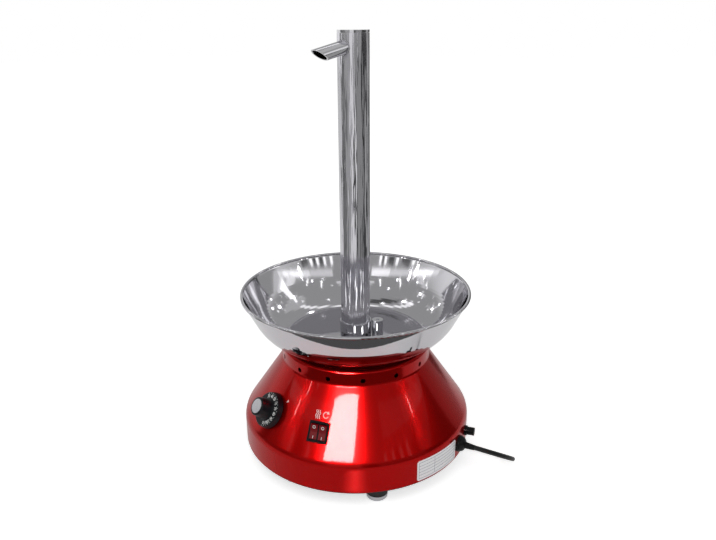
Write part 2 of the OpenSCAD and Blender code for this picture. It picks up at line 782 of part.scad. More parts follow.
// The stator stands proud of the motor's two end bells, and a bearing boss ends the lower one
module motor() {
    motor_z = gearbox_z - motor_h;
    stator_w = 1.5;
    boss_h = 2;
    color([0.3, 0.3, 0.32]) {
        translate([0, 0, motor_z]) cylinder(d = motor_d, h = motor_h);
        translate([0, 0, motor_z + motor_h * 0.3]) cylinder(r = motor_d / 2 + stator_w, h = motor_h * 0.4);
        translate([0, 0, motor_z - boss_h]) cylinder(d = motor_d * 0.4, h = boss_h + 1);
    }
}

// Thermostat and its knob

knob_foot = 1.5;
thermo_nut_af = thermo_bush_d + 5;
thermo_nut_h = 2.4;
nut_room_r = thermo_nut_af / 2 / cos(30) + 1.8;
thermo_face = -shell_t - thermo_w * thermo_w / (8 * cone_r(knob_z)) - 1;

module knob() {
    dial_r = dial_d / 2;
    grip_r = grip_d / 2;
    face = knob_foot + dial_t;
    dial_taper = 1.2;
    dial_edge_r = 0.8;
    grip_taper = 1.2;
    grip_edge_r = 1.2;
    root_r = 2;
    color([0.04, 0.04, 0.05]) on_cone(knob_az, knob_z) difference() {
        rotate_extrude() polygon(concat(
            [[0, knob_foot], [dial_r, knob_foot]],
            arc([dial_r - dial_taper - dial_edge_r, face - dial_edge_r], dial_edge_r, 15, 90, 5),
            arc([grip_r + grip_taper + root_r, face + root_r], root_r, 270, 180, 6),
            arc([grip_r - grip_edge_r, knob_h - grip_edge_r], grip_edge_r, 0, 90, 6),
            [[0, knob_h]]
        ));
        translate([0, 0, knob_foot - 1]) cylinder(r = nut_room_r, h = thermo_nut_h + 2);
        cylinder(r = dial_shaft_d / 2 + fit, h = knob_h * 0.7);
        translate([0, 0, knob_h - insert_t]) cylinder(r = insert_d / 2 + fit, h = insert_t + 1);
    }
}

insert_proud = 0.2;

module knob_insert() {
    color([0.8, 0.8, 0.84]) on_cone(knob_az, knob_z) translate([0, 0, knob_h - insert_t])
        cylinder(d = insert_d, h = insert_t + insert_proud);
}

module thermostat_shaft() {
    color([0.7, 0.7, 0.72]) on_cone(knob_az, knob_z) translate([0, 0, thermo_face - thermo_depth / 2])
        cylinder(d = dial_shaft_d, h = knob_h * 0.65 - thermo_face + thermo_depth / 2);
}

module thermostat_body() {
    bush_top = fit + thermo_nut_h + 0.6;
    color([0.75, 0.72, 0.66]) on_cone(knob_az, knob_z) difference() {
        union() {
            slab(thermo_w, thermo_w, thermo_face - thermo_depth, thermo_face);
            translate([0, 0, thermo_face - 1]) cylinder(d = thermo_bush_d, h = bush_top - thermo_face + 1);
            translate([0, 0, thermo_face - 1])
                cylinder(d = thermo_bush_d + 4, h = 1 - thermo_face - shell_t - play);
        }
        translate([0, 0, thermo_face - thermo_depth / 2 - fit])
            cylinder(r = dial_shaft_d / 2 + run, h = thermo_depth + knob_h);
    }
}

module thermostat_nut() {
    color("silver") on_cone(knob_az, knob_z) translate([0, 0, fit])
        hex_nut(thermo_nut_af, thermo_nut_h, thermo_bush_d / 2 + fit);
}

bulb_z = bowl_floor + 4;

module thermostat_bulb() {
    color([0.8, 0.6, 0.4]) translate(polar(pocket_ring, pocket_az, bulb_z))
        cylinder(d = bulb_d, h = bulb_len);
}

// The capillary leaves the bulb downwards, passes over the motor's plate and ends on the thermostat
capillary_r = 1;
thermo_back = polar(cone_r(knob_z) + (thermo_face - thermo_depth) * cos(cone_deg), knob_az,
    knob_z + (thermo_face - thermo_depth) * sin(cone_deg));
thermo_dir = polar(cos(cone_deg), knob_az, sin(cone_deg));
capillary_route = concat(
    [for (z = [bulb_z, bulb_z - 8, bulb_z - 17]) polar(pocket_ring, pocket_az, z)],
    [polar(pocket_ring, pocket_az - 12, bulb_z - 23)],
    [for (i = [1 : 6]) polar(pocket_ring + 4 * i, pocket_az - 12 - 21 * i, bulb_z - 24 - i)],
    [polar(66, knob_az - 1, bulb_z - 33)],
    [for (d = [10, 5, 0]) thermo_back - d * thermo_dir]
);

module capillary_tube() {
    color([0.75, 0.5, 0.3]) skin(tube_rings(smooth(capillary_route, 2), capillary_r, 6, [0.6, 0.75, 0.3]));
}

// Switch

rocker_pivot = -1.5;
rocker_pitch = rocker_w + 2 * screw_fit + 1.4;
pocket_len = rocker_len + 2 * play;
pocket_floor = rocker_pivot - rocker_len / 2 - 1;
pivot_h = rocker_w + 2 * screw_fit + 1;

module pivot_rod(r, x) {
    translate([x, 0, rocker_pivot]) rotate([0, 90, 0]) cylinder(r = r, h = pivot_h, center = true);
}

module switch_frame() {
    color([0.05, 0.05, 0.05]) on_cone(switch_az, switch_z) difference() {
        union() {
            slab(switch_w, switch_len, fit, switch_rim_t + fit);
            slab(switch_body_w, switch_body_len, -switch_depth, fit);
        }
        for (side = [-1, 1]) {
            translate([side * rocker_pitch / 2, 0, 0])
                slab(rocker_w + 2 * screw_fit, pocket_len, pocket_floor, switch_rim_t + 2);
            pivot_rod(rocker_pin_d / 2 + run, side * rocker_pitch / 2);
        }
    }
}

// Resting with its lower end pressed in
module rocker(side) {
    rise = rocker_len / 2 * tan(rocker_deg);
    crown = switch_rim_t - rocker_pivot - 0.2;
    color([0.75, 0.03, 0.05]) on_cone(switch_az, switch_z) {
        translate([side * rocker_pitch / 2, 0, rocker_pivot]) rotate([rocker_deg, 0, 0])
            rotate([90, 0, 90]) intersection() {
                cylinder(d = rocker_len, h = rocker_w, center = true);
                linear_extrude(rocker_w, center = true) polygon([
                    [-rocker_len / 2, -4], [rocker_len / 2, -4], [rocker_len / 2, crown + rise],
                    [0, crown], [-rocker_len / 2, crown + rise]
                ]);
            }
        pivot_rod(rocker_pin_d / 2, side * rocker_pitch / 2);
    }
}
module rocker_left() {
    rocker(-1);
}
module rocker_right() {
    rocker(1);
}

// Fuse holder, with its axis square to the wall

fuse_bore_r = fuse_cap_d / 2 - 1;
fuse_face = 3;
fuse_stem = 5;

module fuse_holder() {
    color([0.04, 0.04, 0.04]) on_wall(fuse_az, fuse_z) difference() {
        union() {
            translate([0, 0, fit]) cylinder(d = fuse_flange_d, h = fuse_face - fit);
            translate([0, 0, fuse_face - fuse_stem - fuse_len - 3])
                cylinder(d = fuse_body_d, h = fuse_len + fuse_stem + 3);
        }
        translate([0, 0, fuse_face - fuse_stem - fuse_len - 1])
            cylinder(r = fuse_bore_r, h = fuse_len + fuse_stem + 4);
    }
}

module fuse_nut() {
    color([0.06, 0.06, 0.06]) on_wall(fuse_az, fuse_z) translate([0, 0, -shell_t - 0.5 - 3])
        hex_nut(fuse_body_d + 4, 3, fuse_body_d / 2 + fit);
}

module fuse_cap() {
    color([0.05, 0.05, 0.05]) on_wall(fuse_az, fuse_z) difference() {
        union() {
            translate([0, 0, fuse_face + play]) cylinder(d = fuse_cap_d, h = fuse_cap_h - fuse_face - play);
            translate([0, 0, fuse_face - fuse_stem])
                cylinder(r = fuse_bore_r - run, h = fuse_stem + 1);
        }
        slab(1.2, fuse_cap_d + 2, fuse_cap_h - 1.5, fuse_cap_h + 1);
    }
}

module fuse() {
    color([0.8, 0.82, 0.8]) on_wall(fuse_az, fuse_z) translate([0, 0, fuse_face - fuse_stem - fuse_len])
        cylinder(d = fuse_d, h = fuse_len);
}

module terminal_block() {
    way = 11;
    color([0.85, 0.84, 0.8]) rotate([0, 0, gland_az]) translate([0, 24 - bottom_flange_r, base_z])
        difference() {
            union() {
                slab(3 * way + 3, 18, 0, 7);
                for (i = [-1 : 1]) translate([i * way, 0, 0]) slab(way - 1.5, 18, 0, 16);
            }
            for (i = [-1 : 1], y = [-5, 5]) translate([i * way, y, 9]) cylinder(d = 5, h = 10);
        }
}

// Mains lead

sleeve_end_r = cord_d / 2 + 0.4;
gland_h = gland_flange_t + gland_dome_h + gland_sleeve_h;

module cord_gland() {
    flange_r = gland_d / 2;
    dome_deg = 80;
    shank_h = 13;
    color([0.05, 0.05, 0.05]) on_wall(gland_az, gland_z) {
        rotate_extrude() polygon(concat(
            [[0, fit], [flange_r, fit], [flange_r, gland_flange_t]],
            arc([flange_r - 1 - gland_dome_h, gland_flange_t], gland_dome_h, 0, dome_deg, 6),
            [[sleeve_end_r, gland_h], [0, gland_h]]
        ));
        translate([0, 0, -shank_h]) cylinder(d = gland_shank_d, h = shank_h + fit);
    }
}

module gland_nut() {
    color([0.06, 0.06, 0.06]) on_wall(gland_az, gland_z) translate([0, 0, -shell_t - 0.9 - 4])
        rotate([0, 0, 30]) hex_nut(gland_shank_d + 7, 4, gland_shank_d / 2 + fit);
}

// The coil lies behind the base, held by a tie
coil_x = 40;
coil_y = 225;
coil_turns = 6;
tie_t = 0.8;
coil_z = tie_t + 0.4 + cord_d / 2;
coil_step = cord_d + 0.7;
coil_in_r = 4.1 * cord_d;
coil_r = coil_in_r + coil_step * coil_turns / 2;

// The lead leaves the gland, bends down to the floor and passes under the base to its coil
cord_floor = cord_d / 2 + 0.3;
bend_r = 28;
bend_drop = gland_z - cord_floor;
bend_side = sqrt(4 * bend_r * bend_r - bend_drop * bend_drop);
bend_start = base_r + gland_h + 12;
function bend_point(a) =
    let (s = (1 - cos(a)) / 2)
    polar(bend_start + bend_r * sin(a), gland_az, gland_z - bend_drop * s)
    + bend_side * s * [cos(gland_az), sin(gland_az), 0];

under_base = [
    [165.4, -42.5], [153.5, -35.6], [141.5, -28.7], [129.5, -21.8], [118, -15.1], [107.5, -7.6],
    [98.5, 2.2], [91.8, 14], [87.6, 27], [85.4, 42], [84.5, 58], [84.3, 74], [84.6, 90], [85, 106],
    [85.5, 122], [86, 138]
];
turn_r = 30;
turn_x = coil_x + 3 * cord_d;
turn_y = coil_y - coil_r - turn_r;
cord_route = concat(
    [for (r = [-12, -6]) polar(bend_start + r, gland_az, gland_z)],
    [for (a = [0 : 18 : 180]) bend_point(a)],
    [for (p = under_base) [p[0], p[1], cord_floor]],
    [for (a = [0 : 18 : 72])
        [turn_x + turn_r * cos(a), turn_y + turn_r * sin(a), cord_floor + (coil_z - cord_floor) * a / 90]],
    [for (x = [3, 2, 1]) [coil_x + x * cord_d, coil_y - coil_r, coil_z]]
);

module power_cord() {
    color([0.05, 0.05, 0.05]) skin(tube_rings(smooth(cord_route, 2), cord_d / 2, 8, [0, 0, 1]));
}

// Coil of two layers: in on the floor, up half a turn where the spiral reverses, out on top

function coil_rise(t) =
    let (s = max(0, min(1, (t - coil_turns / 2 + 0.25) * 2))) coil_step * s * s * (3 - 2 * s);
function coil_point(t) =
    let (r = coil_r - coil_step * min(t, coil_turns - t), a = -90 - 360 * t)
    [coil_x + r * cos(a), coil_y + r * sin(a), coil_z + coil_rise(t)];
coil_middle = [for (i = [0 : coil_turns * loop_rings]) coil_point(i / loop_rings)];
coil_lead = [cord_d, 0, 0];
coil_last = len(coil_middle) - 1;
coil_path = concat([coil_middle[0] + coil_lead], coil_middle, [coil_middle[coil_last] - coil_lead]);
coil_gap = min([for (i = [0 : coil_last], j = [i + loop_rings / 2 : 1 : coil_last])
    norm(coil_middle[i] - coil_middle[j])]) - cord_d;

module cord_coil() {
    color([0.05, 0.05, 0.05]) skin(tube_rings(coil_path, cord_d / 2, 6, [0, 0, 1]));
}

module cord_tie() {
    inner = coil_r - coil_step * (coil_turns / 2 - 0.5) - cord_d / 2 - 0.9;
    outer = coil_r - coil_step / 2 + cord_d / 2 + 0.5;
    low = coil_z - cord_d / 2 - 0.3;
    high = coil_z + coil_step + cord_d / 2 + 0.3;
    color([0.1, 0.1, 0.1]) translate([coil_x, coil_y, 0]) difference() {
        translate([-4, inner - tie_t, low - tie_t])
            cube([8, outer - inner + 2 * tie_t, high - low + 2 * tie_t]);
        translate([-5, inner, low]) cube([10, outer - inner, high - low]);
    }
}

plug_r = 18.5;
plug_len = 36;
plug_sleeve_h = 20;
plug_axis_z = plug_r + 0.2;
tail_y = coil_y - coil_r;
tail_z = coil_z + coil_step;
tail_x = coil_x - cord_d;
tail_rise = plug_axis_z - tail_z;
tail_steps = [[0, 0], [3, 0], [6, 0], [16, 0.14], [26, 0.5], [36, 0.86], [46, 1], [49, 1], [52, 1]];
plug_x = tail_x - tail_steps[len(tail_steps) - 1][0];
tail_route = [for (step = tail_steps) [tail_x - step[0], tail_y, tail_z + tail_rise * step[1]]];

module cord_tail() {
    color([0.05, 0.05, 0.05]) skin(tube_rings(smooth(tail_route, 2), cord_d / 2, 8, [0, 0, 1]));
}

module plug_frame() {
    translate([plug_x, tail_y, plug_axis_z]) rotate([0, -90, 0]) children();
}

plug_face = plug_sleeve_h + plug_len;
pin_spacing = 19;
pin_r = 2.4;
pin_len = 19;

module plug_body() {
    color([0.05, 0.05, 0.05]) plug_frame() difference() {
        rotate_extrude() polygon(concat(
            [[0, 0], [sleeve_end_r, 0], [5.2, plug_sleeve_h]],
            arc([8, plug_sleeve_h + 5], 5, -90, 0, 6),
            [[plug_r - 1.5, plug_face - 16], [plug_r, plug_face - 13]],
            arc([plug_r - 1.5, plug_face - 1.5], 1.5, 0, 90, 5),
            [[0, plug_face]]
        ));
        for (side = [-1, 1]) {
            translate([0, side * pin_spacing / 2, plug_face - 8]) cylinder(r = pin_r + fit, h = 10);
            translate([side * plug_r, 0, plug_face]) slab(4, 6, -11, 1);
        }
        translate([plug_r * 0.55, 0, plug_face - 9]) cylinder(r = 2.6, h = 10);
    }
}

module plug_pins() {
    color("silver") plug_frame() for (side = [-1, 1])
        translate([0, side * pin_spacing / 2, plug_face - 8]) {
            cylinder(r = pin_r, h = 8 + pin_len - 2);
            translate([0, 0, 8 + pin_len - 2]) cylinder(r1 = pin_r, r2 = pin_r - 1, h = 2);
        }
}

echo(coil_gap = coil_gap, cord_length = path_length(smooth(cord_route, 2)) + path_length(coil_path)
    + path_length(smooth(tail_route, 2)));

housing_shell();
bottom_plate();
plate_screws();
foot_cushions();
foot_glides();
foot_nuts();
bowl();
bowl_gasket();
bowl_studs();
bowl_nuts();
heater_ring();
collar();
sensor_pocket();
column_tube();
column_cap();
column_pin();
spout();
auger_shaft();
auger_flight();
drive_shaft();
shaft_coupling();
output_shaft();
bowl_hub();
hub_nut();
shaft_seal();
shaft_bush();
standoffs();
standoff_screws();
motor_plate();
gearbox_screws();
gearbox();
motor();
knob();
knob_insert();
thermostat_shaft();
thermostat_body();
thermostat_nut();
thermostat_bulb();
capillary_tube();
switch_frame();
rocker_left();
rocker_right();
fuse_holder();
fuse_nut();
fuse_cap();
fuse();
terminal_block();
cord_gland();
gland_nut();
power_cord();
cord_coil();
cord_tie();
cord_tail();
plug_body();
plug_pins();
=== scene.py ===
"""Chocolate fountain: finishes, mains lead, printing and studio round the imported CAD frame, in metres."""

import json
import math

import bmesh
import bpy
from mathutils import Matrix, Quaternion, Vector


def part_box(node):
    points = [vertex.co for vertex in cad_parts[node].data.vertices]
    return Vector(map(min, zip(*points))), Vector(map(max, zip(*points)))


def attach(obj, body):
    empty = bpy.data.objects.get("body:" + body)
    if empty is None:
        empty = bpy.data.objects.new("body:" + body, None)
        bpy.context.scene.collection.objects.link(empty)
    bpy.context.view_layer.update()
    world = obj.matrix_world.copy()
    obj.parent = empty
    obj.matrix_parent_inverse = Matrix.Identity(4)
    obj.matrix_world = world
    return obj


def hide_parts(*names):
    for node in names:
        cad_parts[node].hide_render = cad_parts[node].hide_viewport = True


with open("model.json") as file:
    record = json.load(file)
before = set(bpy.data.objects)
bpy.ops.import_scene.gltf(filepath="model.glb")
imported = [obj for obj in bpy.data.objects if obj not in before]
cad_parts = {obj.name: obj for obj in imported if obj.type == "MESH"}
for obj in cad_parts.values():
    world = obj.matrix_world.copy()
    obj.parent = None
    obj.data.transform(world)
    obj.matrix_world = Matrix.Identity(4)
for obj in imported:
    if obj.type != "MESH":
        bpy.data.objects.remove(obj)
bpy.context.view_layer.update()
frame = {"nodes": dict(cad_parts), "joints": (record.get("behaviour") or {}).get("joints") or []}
nodes = frame["nodes"]
joints = {joint["name"]: joint for joint in frame["joints"]}

# From the frame: the wall's radius and the knob's place in millimetres, and the cone's slope in radians

MM = 0.001
WALL_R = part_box("housing_shell")[1].x / MM
KNOB_AXIS = Vector(joints["thermostat_knob"]["axis"])
KNOB_PLACE = Vector(joints["thermostat_knob"]["pos_m"]) / MM
CONE_SLOPE = math.asin(KNOB_AXIS.z)


# Camera: its place in metres, its angles in radians, its lens in millimetres

CAMERA_PLACE = (0.0, -0.7928, 0.5245)
CAMERA_TILT = 0.3513
CAMERA_PAN = 0.0042
CAMERA_ROLL = -0.0077
CAMERA_LENS = 35.03
SENSOR_WIDTH = 36


def make_camera():
    forward = Vector((
        math.sin(CAMERA_PAN) * math.cos(CAMERA_TILT),
        math.cos(CAMERA_PAN) * math.cos(CAMERA_TILT),
        -math.sin(CAMERA_TILT),
    ))
    right = Vector((math.cos(CAMERA_PAN), -math.sin(CAMERA_PAN), 0))
    up = right.cross(forward)
    across = math.cos(CAMERA_ROLL) * right + math.sin(CAMERA_ROLL) * up
    upright = math.cos(CAMERA_ROLL) * up - math.sin(CAMERA_ROLL) * right
    data = bpy.data.cameras.new("photo_camera")
    data.lens = CAMERA_LENS
    data.sensor_width = SENSOR_WIDTH
    camera = bpy.data.objects.new("photo_camera", data)
    axes = Matrix((across, upright, -forward)).transposed().to_4x4()
    camera.matrix_world = Matrix.Translation(CAMERA_PLACE) @ axes
    bpy.context.scene.collection.objects.link(camera)
    bpy.context.scene.camera = camera


# Mains lead: the route in millimetres, as in the part's source

CORD_D = 5.4
GLAND_REACH = 21
GLAND_AZ = 60
GLAND_Z = 35
STRAIGHT_OUT = 12
FLOOR_GAP = 0.3
CORD_FLOOR = CORD_D / 2 + FLOOR_GAP
BEND_R = 28
BEND_START = WALL_R + GLAND_REACH + STRAIGHT_OUT
UNDER_BASE = [
    (165.4, -42.5), (153.5, -35.6), (141.5, -28.7), (129.5, -21.8), (118, -15.1), (107.5, -7.6),
    (98.5, 2.2), (91.8, 14), (87.6, 27), (85.4, 42), (84.5, 58), (84.3, 74), (84.6, 90), (85, 106),
    (85.5, 122), (86, 138),
]
TURN_R = 30
TURN_END = 72
ARC_STEP = 18
COIL_CENTRE = (40, 225)
COIL_TURNS = 6
COIL_GAP = 0.7
COIL_STEP = CORD_D + COIL_GAP
COIL_INNER_R = 4.1 * CORD_D
COIL_R = COIL_INNER_R + COIL_STEP * COIL_TURNS / 2
COIL_LIFT = 1.2
COIL_Z = COIL_LIFT + CORD_D / 2
LOOP_POINTS = 48
CLIMB_TURN = 0.5
# Straight into the coil, in cord diameters
RUN_IN = (3, 2, 1)
# Out of the coil to the plug: millimetres along, and the share of the rise
TAIL_STEPS = [(0, 0), (3, 0), (6, 0), (16, 0.14), (26, 0.5), (36, 0.86), (46, 1), (49, 1), (52, 1)]
PLUG_AXIS_Z = 18.7
SMOOTH_STEPS = 4


def polar(r, az, z):
    """A point at a radius and a direction, which turns from -Y towards +X."""
    a = math.radians(az)
    return Vector((r * math.sin(a), -r * math.cos(a), z))


def smooth(route, steps):
    """The same curve through the points as the part's source draws."""
    line = []
    last = len(route) - 1
    for i in range(last):
        a, b, c, d = (Vector(route[min(max(k, 0), last)]) for k in range(i - 1, i + 3))
        for s in range(steps):
            t = s / steps
            line.append(b + 0.5 * t * (c - a + t * (2 * a - 5 * b + 4 * c - d + t * (3 * (b - c) + d - a))))
    return line + [Vector(route[last])]


def coil_point(turn):
    """The coil spirals in, climbs a layer in the half turn at its middle, and spirals out again."""
    r = COIL_R - COIL_STEP * min(turn, COIL_TURNS - turn)
    a = math.radians(-90 - 360 * turn)
    climb = max(0.0, min(1.0, (turn - COIL_TURNS / 2 + CLIMB_TURN / 2) / CLIMB_TURN))
    rise = COIL_STEP * climb * climb * (3 - 2 * climb)
    return Vector((COIL_CENTRE[0] + r * math.cos(a), COIL_CENTRE[1] + r * math.sin(a), COIL_Z + rise))


def bend_point(angle):
    """The bend from the gland down to the floor, which turns back towards the base."""
    a = math.radians(angle)
    share = (1 - math.cos(a)) / 2
    drop = GLAND_Z - CORD_FLOOR
    side = math.sqrt(4 * BEND_R ** 2 - drop ** 2)
    outward = polar(BEND_START + BEND_R * math.sin(a), GLAND_AZ, GLAND_Z - drop * share)
    return outward + polar(side * share, GLAND_AZ + 90, 0)


def turn_point(angle):
    """The turn on the floor, into the coil."""
    x, y = COIL_CENTRE[0] + RUN_IN[0] * CORD_D, COIL_CENTRE[1] - COIL_R - TURN_R
    a = math.radians(angle)
    z = CORD_FLOOR + (COIL_Z - CORD_FLOOR) * angle / 90
    return Vector((x + TURN_R * math.cos(a), y + TURN_R * math.sin(a), z))


def lead_line():
    route = [polar(BEND_START - back, GLAND_AZ, GLAND_Z) for back in (STRAIGHT_OUT, STRAIGHT_OUT / 2)]
    route += [bend_point(angle) for angle in range(0, 180 + 1, ARC_STEP)]
    route += [(x, y, CORD_FLOOR) for x, y in UNDER_BASE]
    route += [turn_point(angle) for angle in range(0, TURN_END + 1, ARC_STEP)]
    start_x, start_y = COIL_CENTRE[0], COIL_CENTRE[1] - COIL_R
    route += [(start_x + x * CORD_D, start_y, COIL_Z) for x in RUN_IN]
    line = smooth(route, SMOOTH_STEPS)
    line += [coil_point(i / LOOP_POINTS) for i in range(COIL_TURNS * LOOP_POINTS + 1)]
    tail_z = COIL_Z + COIL_STEP
    climb = PLUG_AXIS_Z - tail_z
    tail = [(start_x - CORD_D - x, start_y, tail_z + climb * rise) for x, rise in TAIL_STEPS]
    return line + smooth(tail, SMOOTH_STEPS)


def make_mains_lead(vinyl):
    """The lead stays out of reflections, so that its coil doesn't show in the steel."""
    line = [MM * p for p in lead_line()]
    curve = bpy.data.curves.new("mains_lead", "CURVE")
    curve.dimensions = "3D"
    curve.bevel_depth = CORD_D * MM / 2
    curve.bevel_resolution = 4
    spline = curve.splines.new("POLY")
    spline.points.add(len(line) - 1)
    for point, place in zip(spline.points, line):
        point.co = (*place, 1)
    lead = bpy.data.objects.new("mains_lead", curve)
    lead.visible_glossy = False
    bpy.context.scene.collection.objects.link(lead)
    curve.materials.append(vinyl)
    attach(lead, "base")
    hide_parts("power_cord", "cord_coil", "cord_tail")


# Materials

SHARP_EDGE = 32


def colour(hex_value):
    """Linear colour of an sRGB hex value."""
    parts = [int(hex_value[i:i + 2], 16) / 255 for i in (1, 3, 5)]
    return [p / 12.92 if p <= 0.04045 else ((p + 0.055) / 1.055) ** 2.4 for p in parts] + [1]


def add(tree, kind, inputs=None, **settings):
    """Adds a node. A value that is a socket is linked, and any other is set. Sockets whose names repeat
    go by number: on a Mix, 0 is the factor, 2 and 3 numbers, 4 and 5 vectors, 6 and 7 colours."""
    node = tree.nodes.new(kind)
    for name, value in settings.items():
        setattr(node, name, value)
    for name, value in (inputs or {}).items():
        if isinstance(value, bpy.types.NodeSocket):
            tree.links.new(value, node.inputs[name])
        else:
            node.inputs[name].default_value = value
    return node


def new_material(name):
    """An empty material, with its tree and its output."""
    material = bpy.data.materials.new(name)
    material.use_nodes = True
    material.node_tree.nodes.clear()
    tree = material.node_tree
    return material, tree, add(tree, "ShaderNodeOutputMaterial")


def candy_lacquer():
    # Red candy lacquer sprayed over bright primer: a deep red with a crisp clear coat and a trace of
    # orange peel
    material, tree, out = new_material("candy_lacquer_on_sheet_steel")
    place = add(tree, "ShaderNodeTexCoord")
    peel_mm = 2.2
    peel_depth_mm = 0.2
    cloud_mm = 60
    peel = add(tree, "ShaderNodeTexNoise", {
        "Vector": place.outputs["Object"], "Scale": 1 / (peel_mm * MM), "Detail": 2,
    })
    cloud = add(tree, "ShaderNodeTexNoise", {
        "Vector": place.outputs["Object"], "Scale": 1 / (cloud_mm * MM),
    })
    shade = add(tree, "ShaderNodeMix", {
        "Factor": cloud.outputs["Fac"], 6: colour("#a20606"), 7: colour("#ae0808"),
    }, data_type="RGBA")
    bump = add(tree, "ShaderNodeBump", {
        "Height": peel.outputs["Fac"], "Strength": 0.02, "Distance": peel_depth_mm * MM,
    })
    paint = add(tree, "ShaderNodeBsdfPrincipled", {
        "Base Color": shade.outputs[2], "Metallic": 0.7, "Roughness": 0.2, "Specular IOR Level": 0,
        "Coat Weight": 0.12, "Coat Roughness": 0.03, "Normal": bump.outputs["Normal"],
        "Coat Normal": bump.outputs["Normal"],
    })
    tree.links.new(paint.outputs["BSDF"], out.inputs["Surface"])
    return material


def plain_metal(name, hex_value, roughness, grain_mm, spread):
    """A bare or plated metal whose roughness varies in patches of one size."""
    material, tree, out = new_material(name)
    place = add(tree, "ShaderNodeTexCoord")
    grain = add(tree, "ShaderNodeTexNoise", {
        "Vector": place.outputs["Object"], "Scale": 1 / (grain_mm * MM), "Detail": 4,
    })
    rough = add(tree, "ShaderNodeMapRange", {
        "Value": grain.outputs["Fac"], "To Min": roughness - spread, "To Max": roughness + spread,
    })
    metal = add(tree, "ShaderNodeBsdfPrincipled", {
        "Base Color": colour(hex_value), "Metallic": 1, "Roughness": rough.outputs["Result"],
    })
    tree.links.new(metal.outputs["BSDF"], out.inputs["Surface"])
    return material


def moulded(name, hex_value, roughness, grain_mm, bump_mm, gloss=0.5):
    """A plastic, rubber, coating or ink with a fine grain, which makes its shine uneven."""
    material, tree, out = new_material(name)
    spread = 0.06
    place = add(tree, "ShaderNodeTexCoord")
    grain = add(tree, "ShaderNodeTexNoise", {
        "Vector": place.outputs["Object"], "Scale": 1 / (grain_mm * MM), "Detail": 3,
    })
    bump = add(tree, "ShaderNodeBump", {
        "Height": grain.outputs["Fac"], "Strength": 0.4, "Distance": bump_mm * MM,
    })
    rough = add(tree, "ShaderNodeMapRange", {
        "Value": grain.outputs["Fac"], "To Min": roughness - spread, "To Max": roughness + spread,
    })
    plastic = add(tree, "ShaderNodeBsdfPrincipled", {
        "Base Color": colour(hex_value), "Roughness": rough.outputs["Result"], "Specular IOR Level": gloss,
        "Normal": bump.outputs["Normal"],
    })
    tree.links.new(plastic.outputs["BSDF"], out.inputs["Surface"])
    return material


def polished_stainless():
    # Stainless tube drawn through a die and polished lengthways: a mirror that wanders in long streaks.
    # Polish lines and drawing marks are coarser and deeper than real ones, so that they show.
    material, tree, out = new_material("polished_stainless_tube")
    place = add(tree, "ShaderNodeTexCoord")
    line_mm = 1.2
    line_depth_mm = 0.1
    line_stretch = (1, 1, 0.02)
    draw_mm = 5
    draw_depth_mm = 1.6
    draw_stretch = (1, 1, 0.06)
    stretch = add(tree, "ShaderNodeMapping", {"Vector": place.outputs["Object"], "Scale": line_stretch})
    lines = add(tree, "ShaderNodeTexNoise", {
        "Vector": stretch.outputs["Vector"], "Scale": 1 / (line_mm * MM), "Detail": 3,
    })
    long = add(tree, "ShaderNodeMapping", {"Vector": place.outputs["Object"], "Scale": draw_stretch})
    drawing = add(tree, "ShaderNodeTexNoise", {
        "Vector": long.outputs["Vector"], "Scale": 1 / (draw_mm * MM), "Detail": 2,
    })
    rough = add(tree, "ShaderNodeMapRange", {"Value": lines.outputs["Fac"], "To Min": 0.05, "To Max": 0.2})
    wander = add(tree, "ShaderNodeBump", {
        "Height": drawing.outputs["Fac"], "Strength": 0.9, "Distance": draw_depth_mm * MM,
    })
    bump = add(tree, "ShaderNodeBump", {
        "Height": lines.outputs["Fac"], "Strength": 0.1, "Distance": line_depth_mm * MM,
        "Normal": wander.outputs["Normal"],
    })
    steel = add(tree, "ShaderNodeBsdfPrincipled", {
        "Base Color": colour("#d6d5da"), "Metallic": 1, "Roughness": rough.outputs["Result"],
        "Normal": bump.outputs["Normal"],
    })
    tree.links.new(steel.outputs["BSDF"], out.inputs["Surface"])
    return material


